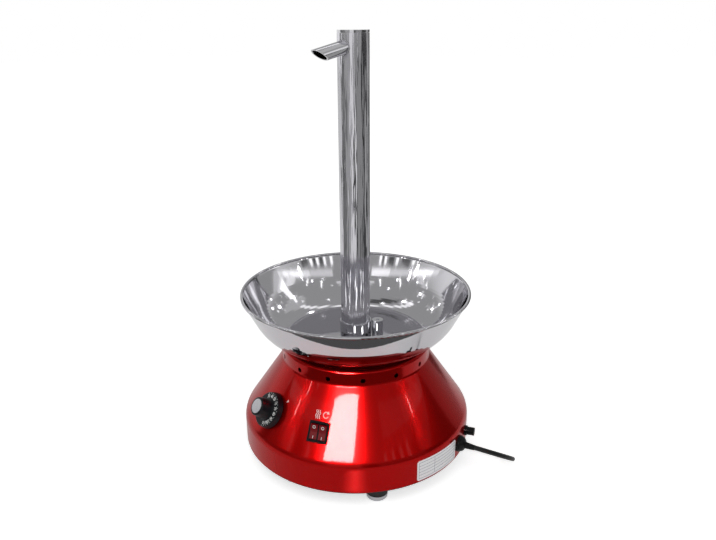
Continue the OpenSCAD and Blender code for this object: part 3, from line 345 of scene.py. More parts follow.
def spun_stainless():
    # Stainless bowl spun on a lathe and buffed in rings: a mirror that draws lamps out towards rim and
    # floor. Its inside steepens a little towards the rim, which spreads what the wall mirrors. The rings
    # are drawn coarser than real ones, so that they show.
    material, tree, out = new_material("spun_and_buffed_stainless")
    ring_mm = 0.9
    ring_depth_mm = 0.05
    wall_foot_mm = 180.5
    wall_top_mm = 207
    crown_mm = 1.5
    outside_roughness = 0.015
    place = add(tree, "ShaderNodeTexCoord")
    parts = add(tree, "ShaderNodeSeparateXYZ", {"Vector": place.outputs["Object"]})
    flat = add(tree, "ShaderNodeCombineXYZ", {"X": parts.outputs["X"], "Y": parts.outputs["Y"]})
    radius = add(tree, "ShaderNodeVectorMath", {0: flat.outputs["Vector"]}, operation="LENGTH")
    rings = add(tree, "ShaderNodeCombineXYZ", {"X": radius.outputs["Value"], "Y": parts.outputs["Z"]})
    brushing = add(tree, "ShaderNodeTexNoise", {
        "Vector": rings.outputs["Vector"], "Scale": 1 / (ring_mm * MM), "Detail": 4,
    })
    buffed = add(tree, "ShaderNodeMapRange", {
        "Value": brushing.outputs["Fac"], "To Min": 0.04, "To Max": 0.11,
    })
    facing = add(tree, "ShaderNodeSeparateXYZ", {"Vector": place.outputs["Normal"]})
    inside = add(tree, "ShaderNodeMapRange", {
        "Value": facing.outputs["Z"], "From Min": -0.1, "From Max": 0.1,
    })
    rough = add(tree, "ShaderNodeMix", {
        0: inside.outputs["Result"], 2: outside_roughness, 3: buffed.outputs["Result"],
    })
    up_wall = add(tree, "ShaderNodeMapRange", {
        "Value": parts.outputs["Z"], "From Min": wall_foot_mm * MM, "From Max": wall_top_mm * MM,
    })
    sweep = add(tree, "ShaderNodeMath", {0: up_wall.outputs["Result"], 1: 2}, operation="POWER")
    crowned = add(tree, "ShaderNodeBump", {
        "Height": sweep.outputs["Value"], "Strength": 1, "Distance": crown_mm * MM,
    })
    flat_wall = add(tree, "ShaderNodeNewGeometry")
    wall = add(tree, "ShaderNodeMix", {
        0: inside.outputs["Result"], 4: flat_wall.outputs["Normal"], 5: crowned.outputs["Normal"],
    }, data_type="VECTOR")
    bump = add(tree, "ShaderNodeBump", {
        "Height": brushing.outputs["Fac"], "Strength": 0.02, "Distance": ring_depth_mm * MM,
        "Normal": wall.outputs[1],
    })
    round_axis = add(tree, "ShaderNodeTangent", direction_type="RADIAL", axis="Z")
    steel = add(tree, "ShaderNodeBsdfPrincipled", {
        "Base Color": colour("#cac9cd"), "Metallic": 1, "Roughness": rough.outputs[0],
        "Anisotropic": 0.5, "Anisotropic Rotation": 0.25, "Tangent": round_axis.outputs["Tangent"],
        "Normal": bump.outputs["Normal"],
    })
    tree.links.new(steel.outputs["BSDF"], out.inputs["Surface"])
    return material


def fuse_glass():
    # Drawn borosilicate tube of a cartridge fuse: clear, with thin bright edges
    material, tree, out = new_material("fuse_glass_tube")
    tube = add(tree, "ShaderNodeBsdfPrincipled", {
        "Base Color": colour("#eef4f2"), "Roughness": 0.02, "IOR": 1.47, "Transmission Weight": 0.9,
    })
    tree.links.new(tube.outputs["BSDF"], out.inputs["Surface"])
    return material


def dress_nodes():
    """One finish for each CAD node."""
    # Pressed steel, zinc plated: a dull grey shine in soft patches
    zinc = plain_metal("zinc_plated_steel", "#b4b6b8", roughness=0.32, grain_mm=3, spread=0.08)
    # Steel turned on a lathe: bright, with a finely uneven shine
    turned = plain_metal("turned_steel", "#c4c4c8", roughness=0.2, grain_mm=0.6, spread=0.06)
    # Die-cast aluminium, left as cast: mid grey and matt
    cast = plain_metal("cast_aluminium", "#8e8f92", roughness=0.5, grain_mm=1.5, spread=0.1)
    # Bronze pressed from powder: brown and satin
    bronze = plain_metal("sintered_bronze", "#b08a58", roughness=0.4, grain_mm=0.5, spread=0.08)
    # Brass pins, nickel plated: a warm mirror
    nickel = plain_metal("nickel_plated_brass", "#cfcac0", roughness=0.15, grain_mm=2, spread=0.05)
    # Aluminium disc with a spun face: pale and satin
    spun_disc = plain_metal("spun_aluminium_disc", "#d6d6da", roughness=0.3, grain_mm=0.4, spread=0.08)
    # Small stainless pieces, buffed: a clean mirror
    fitting = plain_metal(
        "polished_stainless_fittings", "#d0d0d4", roughness=0.1, grain_mm=1.5, spread=0.05,
    )
    # Moulded rubber: black and matt
    rubber = moulded("moulded_rubber", "#141414", roughness=0.62, grain_mm=0.5, bump_mm=0.02)
    # Moulded nylon: black with a low shine
    black = moulded("moulded_black_nylon", "#0d0d0f", roughness=0.34, grain_mm=0.4, bump_mm=0.01, gloss=0.2)
    # Moulded phenolic: blue-black with a low shine
    knob_black = moulded(
        "moulded_phenolic_knob", "#080a12", roughness=0.34, grain_mm=0.6, bump_mm=0.008, gloss=0.3,
    )
    # Sheet with a baked powder coat: black with a soft grain
    powder = moulded("powder_coated_sheet", "#1a1a1a", roughness=0.5, grain_mm=0.6, bump_mm=0.02)
    # Moulded thermoset: cream and matt
    pale = moulded("pale_thermoset", "#d8d2c2", roughness=0.5, grain_mm=0.6, bump_mm=0.01)
    # Moulded polycarbonate: dark red and glossy
    red_plastic = moulded(
        "red_polycarbonate_rocker", "#7a0510", roughness=0.18, grain_mm=0.8, bump_mm=0.004, gloss=0.35,
    )
    finishes = {
        candy_lacquer(): ["housing_shell"],
        spun_stainless(): ["bowl"],
        polished_stainless(): ["column_tube", "auger_shaft", "auger_flight"],
        fitting: ["column_cap", "column_pin", "spout", "collar", "sensor_pocket", "bowl_hub"],
        turned: [
            "foot_glides", "drive_shaft", "output_shaft", "thermostat_shaft", "shaft_coupling", "hub_nut",
            "heater_ring",
        ],
        zinc: [
            "plate_screws", "foot_nuts", "bowl_studs", "bowl_nuts", "standoffs", "standoff_screws",
            "motor_plate", "gearbox_screws", "thermostat_nut",
        ],
        cast: ["gearbox", "motor"],
        bronze: ["shaft_bush", "thermostat_bulb", "capillary_tube"],
        nickel: ["plug_pins"],
        spun_disc: ["knob_insert"],
        rubber: ["foot_cushions", "bowl_gasket", "shaft_seal"],
        black: [
            "switch_frame", "fuse_holder", "fuse_nut", "fuse_cap", "gland_nut", "cord_gland", "plug_body",
            "cord_tie",
        ],
        knob_black: ["knob"],
        powder: ["bottom_plate"],
        pale: ["thermostat_body", "terminal_block"],
        red_plastic: ["rocker_left", "rocker_right"],
        fuse_glass(): ["fuse"],
    }
    for material, names in finishes.items():
        for name in names:
            mesh = nodes[name].data
            mesh.materials.clear()
            mesh.materials.append(material)
            mesh.shade_smooth()
            mesh.set_sharp_from_angle(angle=math.radians(SHARP_EDGE))


# Printing and small fitted pieces, in millimetres and degrees

PRINT_FOOT = 0.01
PRINT_T = 0.08

# Height of the dial's face over the knob's place
DIAL_FACE = 8
DIAL_NUMBERS = range(30, 120, 10)
DIAL_FIRST = 120
DIAL_STEP = -23
NUMBER_R = 15.8
DIGIT_H = 3.7
DIGIT_NARROW = 0.8
DIGIT_BOLD = 0.12
# Height of a digit as a share of the font's size
DIGIT_SHARE = 0.7
TICK_R = 19.8
LONG_TICK = 1.4
SHORT_TICK = 0.8
TICK_W = 0.6

INDEX_ANGLE = 46
INDEX_R = (25.5, 29.5)
INDEX_HALF = 1.6

SWITCH_AZ = -20.6
SWITCH_Z = 80.8
ROCKER_PITCH = 10.5
ROCKER_TILT = 9
ROCKER_CROWN = 3.3
RING_Y = 5.6
RING_R = 1.5
RING_W = 0.55
BAR_Y = (-7.2, -4.2)
BAR_W = 0.6

# Symbols over the rockers, from the middle of the switch
WAVE_Y = 19.5
WAVE_PITCH = 2.4
WAVE_HALF = 5
WAVE_SWING = 0.7
# Turn of the wave from its middle to its end, in radians
WAVE_TURN = 6.0
WAVE_W = 0.8
ARROW_Y = 20
ARROW_R = 3.4
ARROW_ARC = (60, 340)
ARROW_W = 0.9
ARROW_HEAD = [(2.75, 24.8), (0.65, 21.1), (4.6, 21.3)]

LABEL_AZ = (28.8, 56)
LABEL_Z = (20, 46.5)
LABEL_FOOT = 0.02
LABEL_T = 0.25
LABEL_CORNER = 2.0
LABEL_COLUMNS = 32
RULE_W = 0.5
RULE_SHARE = 0.92
RULE_ROWS = (10.5, 6, 2, -2, -6, -10.5)
RULE_COLUMNS = (0, 12, LABEL_COLUMNS)

SPOUT_AZ = -38.3
SPOUT_SLOPE = 9.3
SPOUT_DROP = 14.7
SPOUT_R = 7.5
BEAD_R = 0.9
BEAD_RIPPLE = 0.12
BEAD_RIPPLES = 11
BEAD_STEPS = 48
BEAD_SIDES = 8


def add_piece(name, mesh, material, body):
    piece = bpy.data.objects.new(name, mesh)
    bpy.context.scene.collection.objects.link(piece)
    mesh.materials.append(material)
    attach(piece, body)


def finish_mesh(builder, name):
    """Turns all faces outwards and hands over the mesh."""
    bmesh.ops.recalc_face_normals(builder, faces=builder.faces)
    mesh = bpy.data.meshes.new(name)
    builder.to_mesh(mesh)
    builder.free()
    return mesh


def stroke(line, width):
    """A flat band along a line, as quads of points."""
    points = [Vector(p) for p in line]
    sides = []
    for i, p in enumerate(points):
        along = (points[min(i + 1, len(points) - 1)] - points[max(i - 1, 0)]).normalized()
        across = Vector((-along.y, along.x)) * width / 2
        sides.append((p + across, p - across))
    return [[sides[i][0], sides[i][1], sides[i + 1][1], sides[i + 1][0]] for i in range(len(sides) - 1)]


def arc_line(x, y, r, start, end, steps=24):
    angles = [math.radians(start + (end - start) * i / steps) for i in range(steps + 1)]
    return [(x + r * math.cos(a), y + r * math.sin(a)) for a in angles]


def print_mesh(name, shapes, place):
    """Ink of a small thickness: place turns a flat point and a height into a point on the object."""
    builder = bmesh.new()
    for shape in shapes:
        low = [builder.verts.new(MM * place(p, PRINT_FOOT)) for p in shape]
        high = [builder.verts.new(MM * place(p, PRINT_T)) for p in shape]
        builder.faces.new(high)
        for i in range(len(shape)):
            builder.faces.new((low[i - 1], low[i], high[i], high[i - 1]))
    return finish_mesh(builder, name)


def cone_point(az, z):
    """Places flat points on the cone round a point: x to the right and y up the slope."""
    middle_r = KNOB_PLACE.xy.length - (z - KNOB_PLACE.z) * math.tan(CONE_SLOPE)

    def place(point, lift):
        r = middle_r - point[1] * math.sin(CONE_SLOPE) + lift * math.cos(CONE_SLOPE)
        height = z + point[1] * math.cos(CONE_SLOPE) + lift * math.sin(CONE_SLOPE)
        return polar(r, az + math.degrees(point[0] / middle_r), height)
    return place


def dial_point(point, lift):
    """Places flat points on the dial's face, with y up the slope."""
    right = Vector((0, 0, 1)).cross(KNOB_AXIS).normalized()
    up = KNOB_AXIS.cross(right)
    return KNOB_PLACE + point[0] * right + point[1] * up + (DIAL_FACE + lift) * KNOB_AXIS


def digit_shapes(number, angle, r):
    """The faces of a number, which stands with its foot towards the dial's middle."""
    curve = bpy.data.curves.new("number", "FONT")
    curve.body = str(number)
    curve.size = DIGIT_H / DIGIT_SHARE
    curve.offset = DIGIT_BOLD
    curve.align_x = "CENTER"
    curve.align_y = "CENTER"
    source = bpy.data.objects.new("number", curve)
    mesh = bpy.data.meshes.new_from_object(source)
    turn = Matrix.Rotation(math.radians(angle - 90), 2)
    centre = r * Vector((math.cos(math.radians(angle)), math.sin(math.radians(angle))))
    points = [turn @ Vector((DIGIT_NARROW * v.co.x, v.co.y)) + centre for v in mesh.vertices]
    shapes = [[points[i] for i in face.vertices] for face in mesh.polygons]
    bpy.data.objects.remove(source)
    bpy.data.curves.remove(curve)
    bpy.data.meshes.remove(mesh)
    return shapes


def make_dial_print(ink):
    """Numbers round the dial, with a long tick at each and a short one between."""
    shapes = []
    for i, number in enumerate(DIAL_NUMBERS):
        angle = DIAL_FIRST + DIAL_STEP * i
        shapes += digit_shapes(number, angle, NUMBER_R)
        for part, tick in ((0, LONG_TICK), (0.5, SHORT_TICK)):
            a = math.radians(angle + DIAL_STEP * part)
            ends = [(r * math.cos(a), r * math.sin(a)) for r in (TICK_R - tick, TICK_R)]
            shapes += stroke(ends, TICK_W)
    mesh = print_mesh("dial_numbers", shapes, dial_point)
    add_piece("dial_numbers", mesh, ink, "thermostat_dial")


def make_index_mark(ink):
    """A triangle on the cone that points at the dial."""
    corner = math.radians(INDEX_ANGLE)
    out = Vector((math.cos(corner), math.sin(corner)))
    side = Vector((-out.y, out.x))
    tip, foot = INDEX_R
    shapes = [[tip * out, foot * out - INDEX_HALF * side, foot * out + INDEX_HALF * side]]
    knob_az = math.degrees(math.atan2(KNOB_PLACE.x, -KNOB_PLACE.y))
    mesh = print_mesh("knob_index_mark", shapes, cone_point(knob_az, KNOB_PLACE.z))
    add_piece("knob_index_mark", mesh, ink, "base")


def make_switch_symbols(ink):
    """Rising heat over the left rocker and a turning arrow over the right one."""
    heat = []
    for x in (-WAVE_PITCH, 0, WAVE_PITCH):
        heights = range(-WAVE_HALF, WAVE_HALF + 1)
        wave = [(x + WAVE_SWING * math.sin(WAVE_TURN * y / WAVE_HALF), y + WAVE_Y) for y in heights]
        heat += stroke(wave, WAVE_W)
    turn = stroke(arc_line(0, ARROW_Y, ARROW_R, *ARROW_ARC), ARROW_W)
    turn.append(ARROW_HEAD)
    for name, side, shapes in (("heat_symbol", -1, heat), ("turning_symbol", 1, turn)):
        shifted = [[(p[0] + side * ROCKER_PITCH / 2, p[1]) for p in shape] for shape in shapes]
        mesh = print_mesh(name, shifted, cone_point(SWITCH_AZ, SWITCH_Z))
        add_piece(name, mesh, ink, "base")


def make_label(vinyl, grey_ink):
    """A bare label that follows the wall, with a printed frame and empty ruled fields."""
    width = WALL_R * math.radians(LABEL_AZ[1] - LABEL_AZ[0])
    height = LABEL_Z[1] - LABEL_Z[0]
    middle_az = sum(LABEL_AZ) / 2
    middle_z = sum(LABEL_Z) / 2

    def on_wall(point, lift):
        return polar(WALL_R + lift, middle_az + math.degrees(point[0] / WALL_R), middle_z + point[1])

    def on_label(point, lift):
        return on_wall(point, LABEL_T + lift)

    builder = bmesh.new()
    columns = []
    for i in range(LABEL_COLUMNS + 1):
        x = width * (i / LABEL_COLUMNS - 0.5)
        inset = max(0.0, LABEL_CORNER - (width / 2 - abs(x)))
        half = height / 2 - LABEL_CORNER + math.sqrt(LABEL_CORNER ** 2 - inset ** 2)
        section = ((-half, LABEL_FOOT), (-half, LABEL_T), (half, LABEL_T), (half, LABEL_FOOT))
        columns.append([builder.verts.new(MM * on_wall((x, y), lift)) for y, lift in section])
    for left, right in zip(columns, columns[1:]):
        for j in range(3):
            builder.faces.new((left[j], right[j], right[j + 1], left[j + 1]))
    add_piece("wall_label", finish_mesh(builder, "wall_label"), vinyl, "base")

    across = [width * (i / LABEL_COLUMNS - 0.5) * RULE_SHARE for i in range(LABEL_COLUMNS + 1)]
    shapes = []
    for y in RULE_ROWS:
        shapes += stroke([(x, y) for x in across], RULE_W)
    for i in RULE_COLUMNS:
        shapes += stroke([(across[i], RULE_ROWS[-1]), (across[i], RULE_ROWS[0])], RULE_W)
    mesh = print_mesh("label_ruling", shapes, on_label)
    add_piece("label_ruling", mesh, grey_ink, "base")


def make_rocker_marks(ink):
    """A ring at the upper end and a bar at the lower end of each rocker."""
    slope = math.tan(math.radians(ROCKER_TILT))
    for side, body in (("left", "left_switch"), ("right", "right_switch")):
        joint = joints[f"{side}_rocker_tilt"]
        pivot = Vector(joint["pos_m"]) / MM
        right = -Vector(joint["axis"])
        tilt = Matrix.Rotation(math.radians(ROCKER_TILT), 3, right)
        out = tilt @ polar(math.cos(CONE_SLOPE), SWITCH_AZ, math.sin(CONE_SLOPE))
        up = out.cross(right)

        def place(point, lift):
            height = ROCKER_CROWN + abs(point[1]) * slope
            return pivot + point[0] * right + point[1] * up + (height + lift) * out
        shapes = stroke(arc_line(0, RING_Y, RING_R, 0, 360), RING_W)
        shapes += stroke([(0, y) for y in BAR_Y], BAR_W)
        name = f"rocker_marks_{side}"
        add_piece(name, print_mesh(name, shapes, place), ink, body)


def make_spout_weld(steel):
    """A rippled bead round the root of the spout, where it meets the column."""
    column_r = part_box("column_tube")[1].x / MM
    axis = polar(math.cos(math.radians(SPOUT_SLOPE)), SPOUT_AZ, -math.sin(math.radians(SPOUT_SLOPE)))
    side = polar(1, SPOUT_AZ + 90, 0)
    over = side.cross(axis)
    root = Vector((0, 0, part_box("column_cap")[1].z / MM - SPOUT_DROP))
    turns = [2 * math.pi * j / BEAD_SIDES for j in range(BEAD_SIDES)]
    builder = bmesh.new()
    rings = []
    for i in range(BEAD_STEPS):
        a = 2 * math.pi * i / BEAD_STEPS
        off = math.cos(a) * side + math.sin(a) * over
        # Where a line along the spout's wall leaves the column
        foot = root + SPOUT_R * off
        b = foot.xy.dot(axis.xy)
        c = foot.xy.length_squared - column_r ** 2
        k = axis.xy.length_squared
        middle = foot + (-b + math.sqrt(b * b - k * c)) / k * axis
        away = Vector((middle.x, middle.y, 0)).normalized()
        bead_r = BEAD_R + BEAD_RIPPLE * math.sin(BEAD_RIPPLES * a)
        ring = [middle + bead_r * (math.cos(t) * off + math.sin(t) * away) for t in turns]
        rings.append([builder.verts.new(MM * p) for p in ring])
    for first, second in zip(rings, rings[1:] + rings[:1]):
        for j in range(BEAD_SIDES):
            builder.faces.new((first[j - 1], first[j], second[j], second[j - 1]))
    mesh = finish_mesh(builder, "spout_weld")
    mesh.shade_smooth()
    add_piece("spout_weld", mesh, steel, "column")


# Studio: metres, and degrees round the lamps' aim and up from it. A level of 1 is white.

LAMP_AIM = (0, 0, 0.12)
SOFTBOX_DISTANCE = 2.2
LAMP_DISTANCE = 2.4
STREAK_DISTANCE = 2.5
CARD_DISTANCE = 2.6

ROOM_LEVEL = 0.5
CEILING_LEVEL = 0.42
FLOOR_HALF = 8.0
FLOOR_GREY = (0.8, 0.8, 0.8, 1)
FLOOR_MIRROR_GLOW = 0.25
FLOOR_CAMERA_GLOW = 0.4
WHITE = (1, 1, 1, 1)
BLACK = (0, 0, 0, 1)

# Cards that stand round the object, which give the column its bands: start, end, level.
# Their foot and top: radius, height
SIDE_CARDS = [
    (-99, -90, 0.05), (-90, -58, 0.2), (-58, -24, 0.4), (-24, 4, 0.85), (4, 17, 0.06), (17, 62, 0.3),
    (62, 101, 0.05), (101, 130, 0.4), (130, 172, 0.07),
]
SIDE_FOOT = (0.5, 0.02)
SIDE_TOP = (1.5, 0.53)

# Cards higher up: start, end, lowest and highest elevation, level
HIGH_CARDS = [
    (-30, 30, 46, 58, 0.9), (100, 145, 38, 55, 0.6), (-170, -125, 60, 70, 0.12), (130, 180, 50, 54, 1.4),
    (180, 230, 50, 54, 1.4), (78, 92, 20.5, 24.5, 1.2), (92, 108, 17, 22, 1.1), (-96, -84, 21, 25, 0.9),
]

# What the bowl's far wall mirrors. Bands: start, end, level. Dashes: direction, half width, level
WHITE_BANDS = [
    (29, 58, 1.0), (58, 66, 1.4), (66, 90, 2.0), (90, 96, 1.5), (96, 101, 0.8),
    (-21, -44, 1.7), (-44, -72, 1.1), (-72, -78, 1.6), (-78, -97, 2.3), (-97, -104, 1.4), (-104, -111, 0.8),
]
BAND_STEPS = 6
BAND_LOW = 32.5
BAND_FALL = 540
BAND_HEIGHT = 4.6
BAND_TAPER = 0.032
RIM_DASHES = [
    (52, 1.6, 2), (48, 1.6, 0.1), (44.5, 1.4, 2), (40, 2, 0.1), (36, 1.3, 2), (28, 1.3, 2), (-30, 1.4, 2),
    (-33, 1.2, 0.1), (-36, 1.3, 2), (-43, 3, 0.1), (-49.6, 1.5, 2), (-60, 5, 0.15), (-69, 1.5, 2),
    (60, 4, 0.15),
]
DASH_UNDER_BAND = (6.5, 1.5)

# Streaks: the direction and elevation of foot and tip, then of the points along the long one
STREAKS = [
    ((63, 29), (73, 41)), ((46, 37), (63, 58)), ((-34, 39), (-48, 61)), ((-59, 30), (-74, 49)),
    ((-95, 20), (-101, 24)),
]
STREAK_FOOT_HALF = 1.2
STREAK_TIP_HALF = 0.3
STREAK_LEVEL = 3
LONG_STREAK = [(98.7, 18.5), (97, 23), (102, 36), (110, 45), (124, 51)]
LONG_STREAK_HALF = 4.5
LONG_STREAK_LEVEL = 1.3

# The window that the cone's lacquer mirrors
WINDOW = [(-0.455, -0.75, 0.49), (-0.048, -0.75, 0.458), (0.038, -0.75, 0.639), (-0.42, -0.75, 0.67)]
WINDOW_LEVEL = 130

# On the table: a dark mat with a round cut, and see-through strips, as half width and level
MAT_DIRECTIONS = range(-66, 64, 4)
MAT_INNER_R = 0.154
MAT_OPENING = 7.2e-6
MAT_OUTER_R = 0.7
MAT_Z = 0.05
MAT_LEVEL = 0.1
WALL_STRIPS = [(0.02, 0.4), (0.014, 0.5), (0.009, 0.5), (0.005, 0.5)]
STRIP_Y = (-0.165, -0.26)
STRIP_X = -0.004
STRIP_FLARE = 1.3
STRIP_LAYER = 0.001

# Lamps: direction and elevation
BRIGHT_LAMPS = [(-76, 22), (-70, 26.5), (69.3, 24.5)]
SMALL_LAMPS = [
    (-88.6, 20.2), (-83, 25), (-57, 34), (-33, 40), (44, 38), (59, 34), (124, 18), (136, 24), (112, 30),
    (-118, 27), (-132, 22), (-120, 45), (40, 55), (-65, 60), (135, 71), (-160, 62), (170, 45), (118, 55),
]
STAR_LAMPS = [(106, 43), (131, 33), (-104, 39), (-127, 58), (-137, 32)]
STAR_TURNS = (20, 80, 140)

# Lamps at the column's foot: direction and level
COLUMN_LAMPS = [(-75, 1.2), (-38, 2.5), (8, 2), (50, 1.4)]
COLUMN_LAMP_R = 0.09
COLUMN_LAMP_Z = 0.185
COLUMN_AIM = (0, 0, 0.2)
FITTING_LAMP_OFF = (-0.006, -0.018, 0.006)


def lit_pieces(name, *pieces):
    """A group of CAD nodes that a lamp or a card is kept for."""
    group = bpy.data.collections.new(name)
    for piece in pieces:
        group.objects.link(nodes[piece])
    return group


def softbox(name, place, aim, width, height, brightness, kept_for=None, turn=0):
    """A rectangular lamp; brightness is that of its front, where 1 is white. One kept for some pieces only
    shows as their reflection."""
    data = bpy.data.lights.new(name, "AREA")
    data.shape = "RECTANGLE"
    data.size = width
    data.size_y = height
    data.energy = brightness * math.pi * width * height
    lamp = bpy.data.objects.new(name, data)
    lamp.location = place
    facing = (Vector(aim) - lamp.location).to_track_quat("-Z", "Y")
    lamp.rotation_euler = (facing @ Quaternion((0, 0, 1), math.radians(turn))).to_euler()
    lamp.visible_camera = False
    lamp.visible_glossy = kept_for is not None
    lamp.visible_diffuse = kept_for is None
    lamp.light_linking.receiver_collection = kept_for
    bpy.context.scene.collection.objects.link(lamp)


def around(az, elevation, distance):
    """A place seen from the lamps' aim in that direction."""
    el = math.radians(elevation)
    return polar(distance * math.cos(el), az, distance * math.sin(el) + LAMP_AIM[2])


def seen_directly(tree):
    """1 for rays from the camera, or off metal or through glass, and 0 for the light on the object."""
    path = add(tree, "ShaderNodeLightPath")
    mirror = add(tree, "ShaderNodeMath", {
        0: path.outputs["Is Glossy Ray"], 1: path.outputs["Is Transmission Ray"],
    }, operation="MAXIMUM")
    return add(tree, "ShaderNodeMath", {
        0: path.outputs["Is Camera Ray"], 1: mirror.outputs["Value"],
    }, operation="MAXIMUM").outputs["Value"]


def make_world():
    """A white backdrop, white to the camera everywhere, under a dim ceiling that only reflections see."""
    world = bpy.data.worlds.new("studio")
    bpy.context.scene.world = world
    world.use_nodes = True
    tree = world.node_tree
    tree.nodes.clear()
    place = add(tree, "ShaderNodeTexCoord")
    parts = add(tree, "ShaderNodeSeparateXYZ", {"Vector": place.outputs["Generated"]})
    ceiling = add(tree, "ShaderNodeMapRange", {
        "Value": parts.outputs["Z"], "From Min": 0.1, "From Max": 0.42, "To Min": 1.0,
        "To Max": CEILING_LEVEL,
    }, interpolation_type="SMOOTHSTEP")
    path = add(tree, "ShaderNodeLightPath")
    backdrop = add(tree, "ShaderNodeMix", {
        0: path.outputs["Is Camera Ray"], 2: ceiling.outputs["Result"], 3: 1.0,
    })
    level = add(tree, "ShaderNodeMix", {0: seen_directly(tree), 2: ROOM_LEVEL, 3: backdrop.outputs[0]})
    light = add(tree, "ShaderNodeBackground", {"Color": WHITE, "Strength": level.outputs[0]})
    add(tree, "ShaderNodeOutputWorld", {"Surface": light.outputs["Background"]})


def make_floor():
    """A white floor that keeps the object's shadow."""
    half = FLOOR_HALF
    mesh = bpy.data.meshes.new("floor")
    corners = [(-half, -half, 0), (half, -half, 0), (half, half, 0), (-half, half, 0)]
    mesh.from_pydata(corners, [], [(0, 1, 2, 3)])
    floor = bpy.data.objects.new("floor", mesh)
    bpy.context.scene.collection.objects.link(floor)
    material, tree, out = new_material("white_floor")
    matt = add(tree, "ShaderNodeBsdfDiffuse", {"Color": FLOOR_GREY})
    path = add(tree, "ShaderNodeLightPath")
    dim = add(tree, "ShaderNodeMath", {0: seen_directly(tree), 1: FLOOR_MIRROR_GLOW}, operation="MULTIPLY")
    level = add(tree, "ShaderNodeMath", {
        0: path.outputs["Is Camera Ray"], 1: FLOOR_CAMERA_GLOW, 2: dim.outputs["Value"],
    }, operation="MULTIPLY_ADD")
    glow = add(tree, "ShaderNodeEmission", {"Strength": level.outputs["Value"]})
    both = add(tree, "ShaderNodeAddShader", {0: matt.outputs["BSDF"], 1: glow.outputs["Emission"]})
    tree.links.new(both.outputs["Shader"], out.inputs["Surface"])
    mesh.materials.append(material)


def make_card(name, corners, level, see_through=False, kept_for=None):
    """A card of one grey, or a see-through one that adds its light. Only reflections see it."""
    mesh = bpy.data.meshes.new(name)
    mesh.from_pydata(corners, [], [tuple(range(len(corners)))])
    card = bpy.data.objects.new(name, mesh)
    bpy.context.scene.collection.objects.link(card)
    material, tree, out = new_material(name)
    clear = add(tree, "ShaderNodeBsdfTransparent", {"Color": WHITE if see_through else BLACK})
    glow = add(tree, "ShaderNodeEmission", {"Strength": level})
    both = add(tree, "ShaderNodeAddShader", {0: clear.outputs["BSDF"], 1: glow.outputs["Emission"]})
    tree.links.new(both.outputs["Shader"], out.inputs["Surface"])
    mesh.materials.append(material)
    card.visible_camera = False
    card.visible_diffuse = False
    card.visible_shadow = False
    card.visible_transmission = False
    card.light_linking.receiver_collection = kept_for


def make_high_card(name, start, end, low, high, level):
    """A card round the object between two directions and two elevations."""
    corners = [(start, low), (end, low), (end, high), (start, high)]
    make_card(name, [around(az, el, CARD_DISTANCE) for az, el in corners], level)


def band_low(az):
    """The lowest elevation of the white band that the bowl's far wall mirrors."""
    return BAND_LOW - az * az / BAND_FALL


def band_high(az):
    return band_low(az) + BAND_HEIGHT - BAND_TAPER * abs(az)


def make_wall_cards(bowl_pieces):
    """The far wall's mirror image: a white band, dashes towards the rim, streaks towards the floor."""
    for i, (start, end, level) in enumerate(WHITE_BANDS):
        directions = [start + (end - start) * k / BAND_STEPS for k in range(BAND_STEPS + 1)]
        low = [around(az, band_low(az), CARD_DISTANCE) for az in directions]
        high = [around(az, band_high(az), CARD_DISTANCE) for az in reversed(directions)]
        make_card(f"white_band_{i + 1}", low + high, level)
    for i, (az, half, level) in enumerate(RIM_DASHES):
        low, high = (band_low(az) - under for under in DASH_UNDER_BAND)
        make_high_card(f"rim_dash_{i + 1}", az - half, az + half, low, high, level)
    for i, (foot, tip) in enumerate(STREAKS):
        corners = [
            (foot[0] - STREAK_FOOT_HALF, foot[1]), (foot[0] + STREAK_FOOT_HALF, foot[1]),
            (tip[0] + STREAK_TIP_HALF, tip[1]), (tip[0] - STREAK_TIP_HALF, tip[1]),
        ]
        make_card(f"streak_{i + 1}", [around(az, el, CARD_DISTANCE) for az, el in corners], STREAK_LEVEL)
    left = [around(az - LONG_STREAK_HALF, el, STREAK_DISTANCE) for az, el in LONG_STREAK]
    right = [around(az + LONG_STREAK_HALF, el, STREAK_DISTANCE) for az, el in reversed(LONG_STREAK)]
    make_card("long_streak", left + right, LONG_STREAK_LEVEL, True, bowl_pieces)


def make_table_cards():
    """A dark mat with a round cut for the base, and a bright strip before the wall."""
    inner = [polar(MAT_INNER_R + MAT_OPENING * az * az, az, MAT_Z) for az in MAT_DIRECTIONS]
    outer = [polar(MAT_OUTER_R, az, MAT_Z) for az in reversed(MAT_DIRECTIONS)]
    make_card("dark_mat", inner + outer, MAT_LEVEL)
    near, far = STRIP_Y
    for i, (half, level) in enumerate(WALL_STRIPS):
        wide = STRIP_FLARE * half
        corners = [(-half, near), (half, near), (wide, far), (-wide, far)]
        z = STRIP_LAYER + STRIP_LAYER * i
        make_card(f"wall_strip_{i + 1}", [(x + STRIP_X, y, z) for x, y in corners], level, True)


